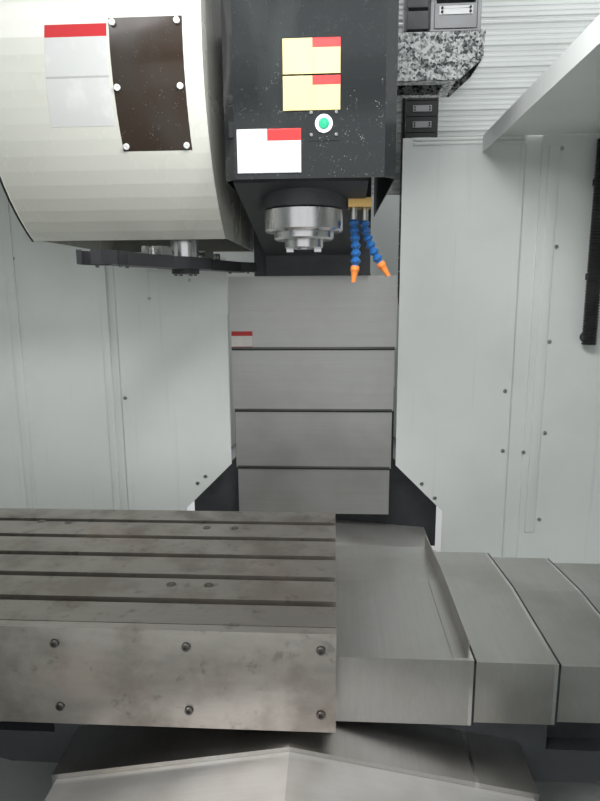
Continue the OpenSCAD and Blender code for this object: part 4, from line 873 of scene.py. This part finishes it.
class MACHINE_OT_table_screws(Operator):
    """Puts the cap screws in the apron's counterbores and the round plugs in the table's top"""
    bl_idname = "machine.table_screws"
    bl_label = "Table screws and plugs"

    PLUGS = ((-0.623, -0.420), (-0.553, -0.426), (-0.220, -0.443), (-0.156, -0.443),
             (-0.230, -0.712), (-0.160, -0.712))

    def execute(self, context):
        steel = brushed_steel("cap_screw_steel", (0.20, 0.19, 0.18), EVEN_GRAIN, 0.34, 0.3)
        face, right = low("apron_plate").y, high("table").x
        inset, pitch, bore_depth, rows = 0.024, 0.217, 0.003, (0.872, 0.757)
        places = [at((right - inset - i * pitch, face + bore_depth, z), -Y, sizes().cap_radius)
                  for i in range(5) for z in rows]
        settle(repeated(cap_screw(), places), "apron_screws", "table", steel)
        plug = turned([(1, 0), (1, 0.05), (0.88, 0.09), (0.80, 0.09), (0.80, 0.02), (0.42, 0.02),
                       (0.42, 0.06)], 32)
        top = high("table").z
        dull = brushed_steel("plug_steel", (0.30, 0.28, 0.26), EVEN_GRAIN, 0.4, 0.5)
        settle(repeated(plug, [at((x, y, top), Z, 0.0095) for x, y in self.PLUGS]),
               "table_plugs", "table", dull)
        return {"FINISHED"}


class MACHINE_OT_cover_wipers(Operator):
    """Fits the rubber wipers on the edges of the telescopic way covers, and the Z plates' folded lips"""
    bl_idname = "machine.cover_wipers"
    bl_label = "Wipers of the way covers"

    STEP = 0.008

    def execute(self, context):
        rubber = black_rubber("wiper_rubber")
        # painted shade: the lips' steel is much darker than the plates, standing in for the shade line
        # under each plate's edge
        dull = brushed_steel("z_lip_shaded_steel", (0.24, 0.24, 0.235), (4, 60, 260), 0.45, 0.3)
        self.across(rubber)
        self.upright(rubber, dull)
        return {"FINISHED"}

    def across(self, rubber):
        """The right-hand edges of the X covers, each on the body of its section"""
        front, back = low("x_cover_1").y, high("x_cover_1").y
        height, crease, fall = 0.122, -0.537, 0.020
        wide, thick, sunk = 0.0042, 0.0068, 0.0004
        bottom = low("x_cover_1").z
        top = bottom + height
        bodies = ["table"] + [f"x_cover_{k}" for k in range(2, 7)]
        for k, body in enumerate(bodies, 1):
            s = self.STEP * (k - 1)
            end = high(f"x_cover_{k}").x
            line = [(front + s, bottom), (front + s, top - s), (crease, top - s),
                    (back - s, top - s - fall)]
            under = [(y, z - sunk) for y, z in line]
            parts = [slab(end, end + wide, a, b, thick) for a, b in zip(under, under[1:])]
            settle(joined(*parts), f"x_wiper_{k}", body, rubber)

    def upright(self, rubber, dull):
        """The lower edges of the Z cover's plates, their lips darkened as painted shade"""
        for k, body in enumerate(("head", "z_cover_2", "z_cover_3"), 1):
            node = f"z_cover_{k}"
            half = high(node).x - 0.004
            face, bottom = low(node).y, low(node).z
            edge = block((-half, face - 0.0011, bottom + 0.0004),
                         (half, face - 0.0001, bottom + 0.0065), 0.0004)
            settle(edge, f"z_lip_{k}", body, dull)
            wiper = block((-half, face - 0.0004, bottom - 0.0048),
                          (half, face + 0.0048, bottom - 0.0002), 0.0004)
            settle(wiper, f"z_wiper_{k}", body, rubber)


class MACHINE_OT_sign_place(Operator):
    """Sets the bare sign place on the Z cover's first plate"""
    bl_idname = "machine.sign_place"
    bl_label = "Sign place"

    def execute(self, context):
        face = low("z_cover_1").y
        card = moulded_plastic("sign_card", (0.68, 0.66, 0.62), 0.4, 0.1)
        band = (card.z > 1.288).most(card.between(card.z, 1.250, 1.253))
        two_tone(card, band, (0.50, 0.03, 0.03), 0.4, 0.0)
        plate = plate_on((-0.268, face - 0.0013, 1.251), (-0.198, face - 0.0001, 1.303), -Y)
        settle(plate, "sign_place", "head", card)
        return {"FINISHED"}


class MACHINE_OT_spindle_screws(Operator):
    """Puts the cap screws in the spindle cartridge's flange and nose"""
    bl_idname = "machine.spindle_screws"
    bl_label = "Spindle screws"

    def execute(self, context):
        axis, first = middle("spindle_shaft"), 22.5
        steel = brushed_steel("spindle_screw_steel", (0.16, 0.16, 0.165), EVEN_GRAIN, 0.3, 0.1)
        places = []
        for count, radius, height, size in ((8, 0.080, 1.576, 0.0060), (4, 0.057, 1.553, 0.0030)):
            for i in range(count):
                places.append(self.ring(axis, radius, first + 360 / count * i, height, size))
        settle(repeated(cap_screw(), places), "spindle_screws", "head", steel)
        return {"FINISHED"}

    def ring(self, axis, radius, angle, height, size):
        turn = math.radians(angle)
        place = axis + Vector((math.cos(turn), math.sin(turn), 0)) * radius
        return at((place.x, place.y, height), -Z, size)


class MACHINE_OT_coolant_hoses(Operator):
    """Builds the two jointed coolant hoses from ball-ended segments and a nozzle"""
    bl_idname = "machine.coolant_hoses"
    bl_label = "Jointed coolant hoses"

    PITCH = 0.017

    def execute(self, context):
        plastic = moulded_plastic("segment_plastic", colours().hose, 0.28, 0.3)
        tip = moulded_plastic("nozzle_plastic", colours().nozzle, 0.3, 0.3)
        for body, start, lean, bend in (("left_nozzle", (0.114, -0.310), 12, -3),
                                        ("right_nozzle", (0.140, -0.290), 16, 3)):
            top = high(body).z
            links = [at(*step) for step in self.path((*start, top), lean, bend)]
            hose = settle(repeated(self.segment(), links[:-1]), f"{body}_segments", body, plastic)
            end = settle(repeated(self.nozzle(), links[-1:]), f"{body}_tip", body, tip)
            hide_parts(body)
            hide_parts(body)
        return {"FINISHED"}

    def path(self, start, lean, bend):
        """The place and direction of each segment, and of the nozzle after them"""
        place, angle = Vector(start), -90.0
        for j in range(sizes().hose_segments + 1):
            if j:
                angle = -90 + lean + bend * j
            turn = math.radians(angle)
            along = Vector((math.cos(turn), 0, math.sin(turn)))
            yield place.copy(), along
            place = place + along * self.PITCH

    def segment(self):
        return turned([(0.0060, 0), (0.0082, 0.0003), (0.0093, 0.0022), (0.0110, 0.0040),
                       (0.0115, 0.0052), (0.0115, 0.0088), (0.0108, 0.0098), (0.0088, 0.0118),
                       (0.0068, 0.0136), (0.0064, 0.0150), (0.0070, 0.0162), (0.0078, 0.0176),
                       (0.0074, 0.0188)], 28)

    def nozzle(self):
        piece = turned([(0.0070, 0), (0.0090, 0.0010), (0.0105, 0.0050), (0.0105, 0.0100),
                        (0.0098, 0.0108), (0.0075, 0.0190), (0.0056, 0.0300), (0.0055, 0.0380)], 28)
        open_faces(piece, lambda face: face.normal.z > 0.9 and face.center.z > 0.037)
        bpy.ops.mesh.inset(thickness=0.0018)
        push(0.016, -Z)
        return close(piece)


# Cable chain, tool changer and controls


class MACHINE_OT_cable_chain(Operator):
    """Builds the folded bracket on the head's side, the chain's upper run and the links' fittings"""
    bl_idname = "machine.cable_chain"
    bl_label = "Cable chain and its bracket"

    PITCH = 0.060
    WIDE = 0.108
    THICK = 0.042

    def execute(self, context):
        self.grey = moulded_plastic("chain_plastic", (0.16, 0.165, 0.17), 0.45)
        self.pale = moulded_plastic("chain_bar_plastic", (0.38, 0.39, 0.39), 0.4)
        self.dark = black_rubber("chain_screw_black")
        self.box()
        self.upper()
        self.lower()
        return {"FINISHED"}

    def box(self):
        """A folded sheet box, open below, with its outer lower corner cut away"""
        left, right, front, back, bottom, top = 0.1935, 0.391, -0.300, -0.179, 1.884, 1.981
        wall = 0.003
        body = block((left, front, bottom), (right, back, top), 0.0)
        inside = block((left + wall, front + wall, bottom - 0.02),
                       (right - wall, back - wall, top - wall), 0.0)
        cut(body, inside)
        corner = block((-0.05, -0.3, -0.2), (0.2, 0.3, 0.0), 0.0)
        corner.matrix_world = Matrix.Translation((right - 0.050, (front + back) / 2, bottom)) \
            @ Matrix.Rotation(-math.atan2(0.043, 0.050), 4, "Y")
        cut(body, seat(corner))
        floor = block((left, front + 0.006, bottom), (right - 0.056, back, bottom + wall), 0.0)
        slot = block((left + 0.02, front + 0.03, bottom - 0.01),
                     (right - 0.08, back - 0.02, bottom + 0.01), 0.0)
        cut(floor, slot)
        zinc = spangled_zinc("bracket_zinc")
        settle(rounded(joined(body, floor), 0.0006, 1), "chain_box", "head", zinc)
        steel = brushed_steel("bracket_screw_zinc", (0.5, 0.5, 0.49), EVEN_GRAIN, 0.3, 0.1)
        places = [at((left + 0.014, front + 0.02 + y, top), Z, 0.0055) for y in (0.0, 0.085)]
        settle(repeated(hexagon_bolt(), places), "chain_box_bolts", "head", steel)

    def link(self):
        """A link along Z whose outer side faces -Y"""
        wide, thick, pitch = self.WIDE, self.THICK, self.PITCH
        rail, ear, sheet, gap, inset = 0.008, 0.004, 0.003, 0.0006, 0.002
        rails = [block((x, -thick / 2, gap), (x + rail, thick / 2, pitch - gap), 0.0012)
                 for x in (0, wide - rail)]
        ears = [block((x, ear - thick / 2, -0.008), (x + ear, thick / 2 - ear, 0.012), 0.0015)
                for x in (rail + 0.0005, wide - rail - ear - 0.0005)]
        plates = [block((0.009, y, 0.004), (wide - 0.009, y + sheet, pitch - 0.007), 0.0008)
                  for y in (inset - thick / 2, thick / 2 - inset - sheet)]
        return joined(*rails, *ears, *plates)

    def bar_on(self):
        """The raised bar on a link's outer side"""
        wide, face = self.WIDE, -self.THICK / 2 + 0.0022
        piece = block((0.018, face - 0.0030, 0.030), (wide - 0.018, face, 0.047), 0.0008)
        return dished(piece, -Y, 0.004, -0.0012, stepped=True)

    def upper(self):
        """The run from the box up, over and down to the bracket behind"""
        places = list(self.path())
        settle(repeated(self.link(), places), "chain_upper", "head", self.grey)
        settle(repeated(self.bar_on(), places), "chain_upper_bars", "head", self.pale)
        face = -self.THICK / 2 - 0.0008
        screws = [place @ at((x, face, z), -Y, 0.0026) for place in places
                  for x in (0.024, self.WIDE - 0.024) for z in (0.0345, 0.0425)]
        settle(repeated(cap_screw(12), screws), "chain_upper_screws", "head", self.dark)
        anchor = block((0.274, -0.300, 1.9812), (0.384, -0.250, 1.9850), 0.0008)
        settle(anchor, "chain_anchor", "head", self.grey)

    def path(self):
        """Matrices of the links along the run"""
        left, near, far, bend = 0.276, -0.2735, 0.266, 0.12
        start, high_end, finish = 1.986, 2.400, 2.194
        straight, arc = high_end - start, bend * math.pi / 2
        level = far - near - 2 * bend
        total = straight + arc + level + arc + (high_end - finish)
        count = round(total / self.PITCH)
        for i in range(count):
            s = total / count * i
            if s < straight:
                place, turn = (near, start + s), 0.0
            elif s < straight + arc:
                turn = (s - straight) / bend
                place = (near + bend - bend * math.cos(turn), high_end + bend * math.sin(turn))
            elif s < straight + arc + level:
                place, turn = (near + bend + s - straight - arc, high_end + bend), math.pi / 2
            elif s < straight + 2 * arc + level:
                turn = math.pi / 2 + (s - straight - arc - level) / bend
                place = (far - bend - bend * math.cos(turn), high_end + bend * math.sin(turn))
            else:
                place, turn = (far, high_end - (s - straight - 2 * arc - level)), math.pi
            yield Matrix.Translation((left, *place)) @ Matrix.Rotation(-turn, 4, "X")

    def lower(self):
        """Bars and screws on the links of the CAD chain"""
        face, left = low("cable_chain").y, low("cable_chain").x
        links, pitch, top = 16, 0.046, 2.1868
        bars, screws = [], []
        for i in range(links):
            foot = top - pitch * (i + 1)
            bars.append(Matrix.Translation((left + 0.020, face, foot + 0.012)))
            screws += [at((left + 0.020 + x, face - 0.0014, foot + 0.012 + z), -Y, 0.0024)
                       for x in (0.006, 0.051) for z in (0.005, 0.013)]
        master = block((0, -0.0014, 0), (0.057, 0, 0.018), 0.0005)
        dished(master, -Y, 0.003, -0.0006, stepped=True)
        settle(repeated(master, bars), "chain_lower_bars", "head", self.pale)
        settle(repeated(cap_screw(12), screws), "chain_lower_screws", "head", self.dark)


class MACHINE_OT_arm_fittings(Operator):
    """Adds the plungers, stops, jaw inserts and hub screws of the tool arm"""
    bl_idname = "machine.arm_fittings"
    bl_label = "Fittings of the tool arm"

    def execute(self, context):
        hub, turn = Vector((-0.310, -0.180, 0)), math.radians(71.5)
        top, bottom, jaw = 1.518, 1.478, 1.490
        place = Matrix.Translation(hub) @ Matrix.Rotation(turn, 4, "Z")
        steel = brushed_steel("arm_steel", (0.58, 0.58, 0.56), (260, 260, 40), 0.26, 0.15)
        parts = []
        for side in (-1, 1):
            stack = turned([(0.0105, 0), (0.0105, 0.006), (0.0080, 0.0065), (0.0080, 0.0095),
                            (0.0100, 0.0100), (0.0100, 0.0150), (0.0080, 0.0170), (0.0050, 0.0170),
                            (0.0050, 0.0195)], 28)
            parts.append(repeated(stack, [place @ at((side * 0.136, 0, top + 0.0012))]))
            dome = turned([(0.0110, 0), (0.0110, 0.0080), (0.0101, 0.0120), (0.0078, 0.0150),
                           (0.0042, 0.0168), (0.0012, 0.0172)], 28)
            parts.append(repeated(dome, [place @ at((side * 0.066, 0, top + 0.0002))]))
            key = block((-0.008, -0.005, 0), (0.008, 0.005, 0.018), 0.0010)
            parts.append(repeated(key, [place @ at((side * 0.166, 0, top + 0.0012))]))
        settle(joined(*parts), "arm_plungers", "tool_arm", steel)
        dark = brushed_steel("arm_screw_steel", (0.20, 0.20, 0.205), EVEN_GRAIN, 0.32, 0.2)
        screws = [place @ at((0.025 * math.cos(a), 0.025 * math.sin(a), bottom), -Z, 0.0042)
                  for a in (math.radians(60 * i) for i in range(6))]
        screws += [place @ at((side * x, y, jaw), -Z, 0.0040)
                   for side in (-1, 1) for x, y in ((0.296, 0.030), (0.296, -0.030), (0.235, 0))]
        settle(repeated(cap_screw(), screws), "arm_screws", "tool_arm", dark)
        return {"FINISHED"}


class MACHINE_OT_console_keys(Operator):
    """Sets bare key caps and the screen's frame on the control box"""
    bl_idname = "machine.console_keys"
    bl_label = "Keys of the control box"

    def execute(self, context):
        front = low("control_box").y
        base = max(high("emergency_stop").z, high("override_knob").z) + 0.020
        cap = block((-0.0075, -0.0030, -0.0065), (0.0075, 0, 0.0065), 0.0010)
        dished(cap, -Y, 0.0016, -0.0006)
        left, top, across, up = 0.850, 1.322, 0.026, 0.020
        rows = int((top - base) / up)
        places = [Matrix.Translation((left + across * i, front, base + up * (j + 0.5)))
                  for i in range(11) for j in range(max(rows, 1)) if i not in (3, 7)]
        keys = moulded_plastic("key_plastic", (0.34, 0.35, 0.36), 0.4, 0.1)
        settle(repeated(cap, places), "console_keys", "control_box", keys)
        left, right, bottom, top, edge = 0.829, 1.131, 1.324, 1.616, 0.013
        sides = (((left, top - edge), (right, top)), ((left, bottom), (right, bottom + edge)),
                 ((left, bottom + edge), (left + edge, top - edge)),
                 ((right - edge, bottom + edge), (right, top - edge)))
        frame_parts = [block((x0, front - 0.0035, z0), (x1, front, z1), 0.0010)
                       for (x0, z0), (x1, z1) in sides]
        settle(joined(*frame_parts), "screen_frame", "control_box",
               moulded_plastic("frame_plastic", (0.03, 0.032, 0.034), 0.45))
        return {"FINISHED"}


class MACHINE_OT_guard_top(Operator):
    """Continues the ribbed guard of the rear wall up to its folded top rail"""
    bl_idname = "machine.guard_top"
    bl_label = "Top of the ribbed guard"

    RIB = 0.016

    def execute(self, context):
        paint = sheet_paint("guard_top_paint", colours().sheet)
        front, base, top = 0.3985, 2.2785, 2.374
        thin, high_rib, rail_half, rail_tall = 0.003, 0.008, 0.010, 0.016
        count = int((top - 0.02 - base) / self.RIB)
        sheets = []
        for x0, x1 in ((0.195, 1.215), (-1.215, -0.700)):
            parts = [block((x0, front, base), (x1, front + thin, top), 0.0)]
            for i in range(count):
                z = base + 0.006 + i * self.RIB
                deep = 0.0030 if i % 4 else 0.0065
                parts.append(block((x0 + 0.004, front - deep, z), (x1 - 0.004, front, z + high_rib),
                                   0.0009))
            parts.append(block((x0, front - rail_half, top - rail_tall),
                               (x1, front + rail_half, top), 0.0015))
            sheets.append(joined(*parts))
        settle(joined(*sheets), "guard_top", "frame", paint)
        return {"FINISHED"}


class MACHINE_OT_outer_hardware(Operator):
    """Puts the screws on the outer sheets, and the lock and louvres on the cabinet's door"""
    bl_idname = "machine.outer_hardware"
    bl_label = "Outer screws, lock and louvres"

    def execute(self, context):
        zinc = brushed_steel("outer_screw_zinc", (0.5, 0.5, 0.49), EVEN_GRAIN, 0.3, 0.1)
        box_low, box_high = low("side_walls"), high("side_walls")
        count, margin, rows = 8, 0.06, (box_low.z + 0.22, 1.800)
        pitch = (box_high.y - box_low.y - 2 * margin) / (count - 1)
        places = []
        for side, x in ((-1, box_low.x), (1, box_high.x)):
            for i in range(count):
                for z in rows:
                    place = (x, box_low.y + margin + i * pitch, z)
                    places.append(at(place, X * side, sizes().screw_radius))
        settle(repeated(pan_screw(), places), "side_screws", "frame", zinc)
        self.cabinet(zinc)
        return {"FINISHED"}

    def cabinet(self, zinc):
        """Fittings that ride on the cabinet's door"""
        start, end = low("cabinet_door"), high("cabinet_door")
        face, paint = end.y, sheet_paint("louvre_paint", tuple(c * 0.95 for c in colours().sheet))
        left, right, pitch, depth = start.x + 0.16, start.x + 0.44, 0.024, 0.0070
        fins = []
        for base in (start.z + 0.18, end.z - 0.42):
            for i in range(9):
                foot = base + i * pitch
                fin = block((left, face - 0.0005, foot), (right, face + depth, foot + pitch / 2), 0.0)
                open_faces(fin, lambda each: each.normal.z > 0.99)
                middle = ((left + right) / 2, face - 0.0005, 0)
                bpy.ops.transform.resize(value=(0.98, 0.2, 1), center_override=middle)
                fins.append(rounded(close(fin), 0.0006, 1))
        settle(joined(*fins), "cabinet_louvres", "cabinet_door", paint)
        x, z = end.x - 0.055, (start.z + end.z) / 2
        pivot = z + 0.030
        plate = block((x - 0.020, face - 0.0002, z - 0.060), (x + 0.020, face + 0.004, z + 0.060))
        grip = turned([(0.016, 0), (0.016, 0.008), (0.012, 0.010), (0.012, 0.016), (0.010, 0.018)], 28)
        grip = repeated(grip, [at((x, face + 0.004, pivot), Y)])
        lever = block((x - 0.008, face + 0.020, z - 0.050), (x + 0.008, face + 0.028, z + 0.042), 0.003)
        stem = bar((x, face + 0.003, pivot), (x, face + 0.022, pivot), 0.006, 20)
        settle(joined(plate, grip, lever, stem), "cabinet_lock", "cabinet_door", zinc)


# Studio


class MACHINE_OT_stage(Operator):
    """Sets up the floor, the lights, the world and the camera"""
    bl_idname = "machine.stage"
    bl_label = "Stage"

    def execute(self, context):
        self.floor()
        self.world(context.scene)
        self.lights()
        self.camera(context.scene)
        context.scene.view_settings.view_transform = "Standard"
        return {"FINISHED"}

    def floor(self):
        clear()
        bpy.ops.mesh.primitive_plane_add(size=40, location=(0, 0, -0.001))
        floor = seat(bpy.context.object)
        floor.name = "floor"
        f = Finish("pale_floor", (0.72, 0.72, 0.71), 0.7)
        f.put("Base Color", f.tint(f.noise(1.2, 5.0), (0.70, 0.70, 0.69), (0.76, 0.76, 0.75)))
        floor.data.materials.append(f.material)

    def world(self, scene):
        world = bpy.data.worlds.new("studio")
        world.use_nodes = True
        scene.world = world
        nodes, links = world.node_tree.nodes, world.node_tree.links
        seen, light = nodes["Background"], nodes.new("ShaderNodeBackground")
        seen.inputs["Color"].default_value = (0.93, 0.94, 0.95, 1.0)
        seen.inputs["Strength"].default_value = 1.0
        light.inputs["Color"].default_value = (0.95, 0.98, 1.0, 1.0)
        light.inputs["Strength"].default_value = 0.60
        path, mix = nodes.new("ShaderNodeLightPath"), nodes.new("ShaderNodeMixShader")
        shown = path.outputs["Is Camera Ray"]
        for ray in ("Is Glossy Ray", "Is Transmission Ray"):
            either = nodes.new("ShaderNodeMath")
            either.operation = "MAXIMUM"
            links.new(shown, either.inputs[0])
            links.new(path.outputs[ray], either.inputs[1])
            shown = either.outputs[0]
        links.new(shown, mix.inputs[0])
        links.new(light.outputs[0], mix.inputs[1])
        links.new(seen.outputs[0], mix.inputs[2])
        links.new(mix.outputs[0], nodes["World Output"].inputs["Surface"])

    def lights(self):
        for name, place, aim, size, power in (
                ("key", (-1.9, -3.4, 3.9), (0.1, -0.3, 1.1), 1.6, 38),
                ("front", (1.6, -4.6, 2.0), (0.0, -0.2, 1.1), 2.6, 56),
                ("door", (-0.04, -0.97, 2.03), (-0.1, 0.0, 0.8), 0.25, 5.5),
                ("work", (0.32, -0.95, 2.05), (-0.1, 0.1, 1.0), 0.25, 5),
                ("rear", (-2.4, 4.2, 3.4), (0.0, 0.6, 1.0), 3.0, 45),
                ("top", (0.4, -0.4, 4.6), (0.0, -0.4, 1.0), 2.2, 25)):
            data = bpy.data.lights.new(name, "AREA")
            data.shape = "DISK"
            data.size = size
            data.energy = power
            lamp = bpy.data.objects.new(name, data)
            bpy.context.collection.objects.link(lamp)
            lamp.location = place
            lamp.visible_glossy = name not in {"front", "door", "work"}
            lamp.visible_camera = False
            lamp.rotation_euler = (Vector(aim) - Vector(place)).to_track_quat("-Z", "Y").to_euler()

    def camera(self, scene):
        pitch, heading, roll = (math.radians(a) for a in (79.5, 3.3, -0.42))
        data = bpy.data.cameras.new("view")
        data.sensor_fit = "VERTICAL"
        data.sensor_height = 36.0
        data.lens = sizes().camera_lens
        data.clip_start = 0.02
        camera = bpy.data.objects.new("view", data)
        turn = Matrix.Rotation(heading, 4, "Z") @ Matrix.Rotation(pitch, 4, "X")
        turn = turn @ Matrix.Rotation(roll, 4, "Z")
        camera.matrix_world = Matrix.Translation((0.07, -1.72, 1.435)) @ turn
        bpy.context.collection.objects.link(camera)
        scene.camera = camera


class MACHINE_PT_parts(Panel):
    """Shows the machine's sizes, colours and steps in the sidebar"""
    bl_label = "Machining centre"
    bl_idname = "MACHINE_PT_parts"
    bl_space_type = "VIEW_3D"
    bl_region_type = "UI"
    bl_category = "Machine"

    def draw(self, context):
        for group in (context.scene.machine_sizes, context.scene.machine_colours):
            for name in group.bl_rna.properties.keys():
                if name not in {"rna_type", "name"}:
                    self.layout.prop(group, name)
        for step in STEPS:
            self.layout.operator(step.bl_idname)


STEPS = [
    MACHINE_OT_stage, MACHINE_OT_finishes, MACHINE_OT_wall_screws, MACHINE_OT_wall_sheets,
    MACHINE_OT_drum_plate, MACHINE_OT_head_labels, MACHINE_OT_table_screws,
    MACHINE_OT_cover_wipers, MACHINE_OT_sign_place, MACHINE_OT_spindle_screws,
    MACHINE_OT_coolant_hoses, MACHINE_OT_cable_chain, MACHINE_OT_arm_fittings,
    MACHINE_OT_console_keys, MACHINE_OT_guard_top, MACHINE_OT_outer_hardware,
]
CLASSES = [MachineSizes, MachineColours, *STEPS, MACHINE_PT_parts]


def register():
    for kind in CLASSES:
        bpy.utils.register_class(kind)
    bpy.types.Scene.machine_sizes = PointerProperty(type=MachineSizes)
    bpy.types.Scene.machine_colours = PointerProperty(type=MachineColours)


def unregister():
    del bpy.types.Scene.machine_colours
    del bpy.types.Scene.machine_sizes
    for kind in reversed(CLASSES):
        bpy.utils.unregister_class(kind)


def main():
    register()
    for step in STEPS:
        group, name = step.bl_idname.split(".")
        getattr(getattr(bpy.ops, group), name)()


if __name__ == "__main__":
    main()
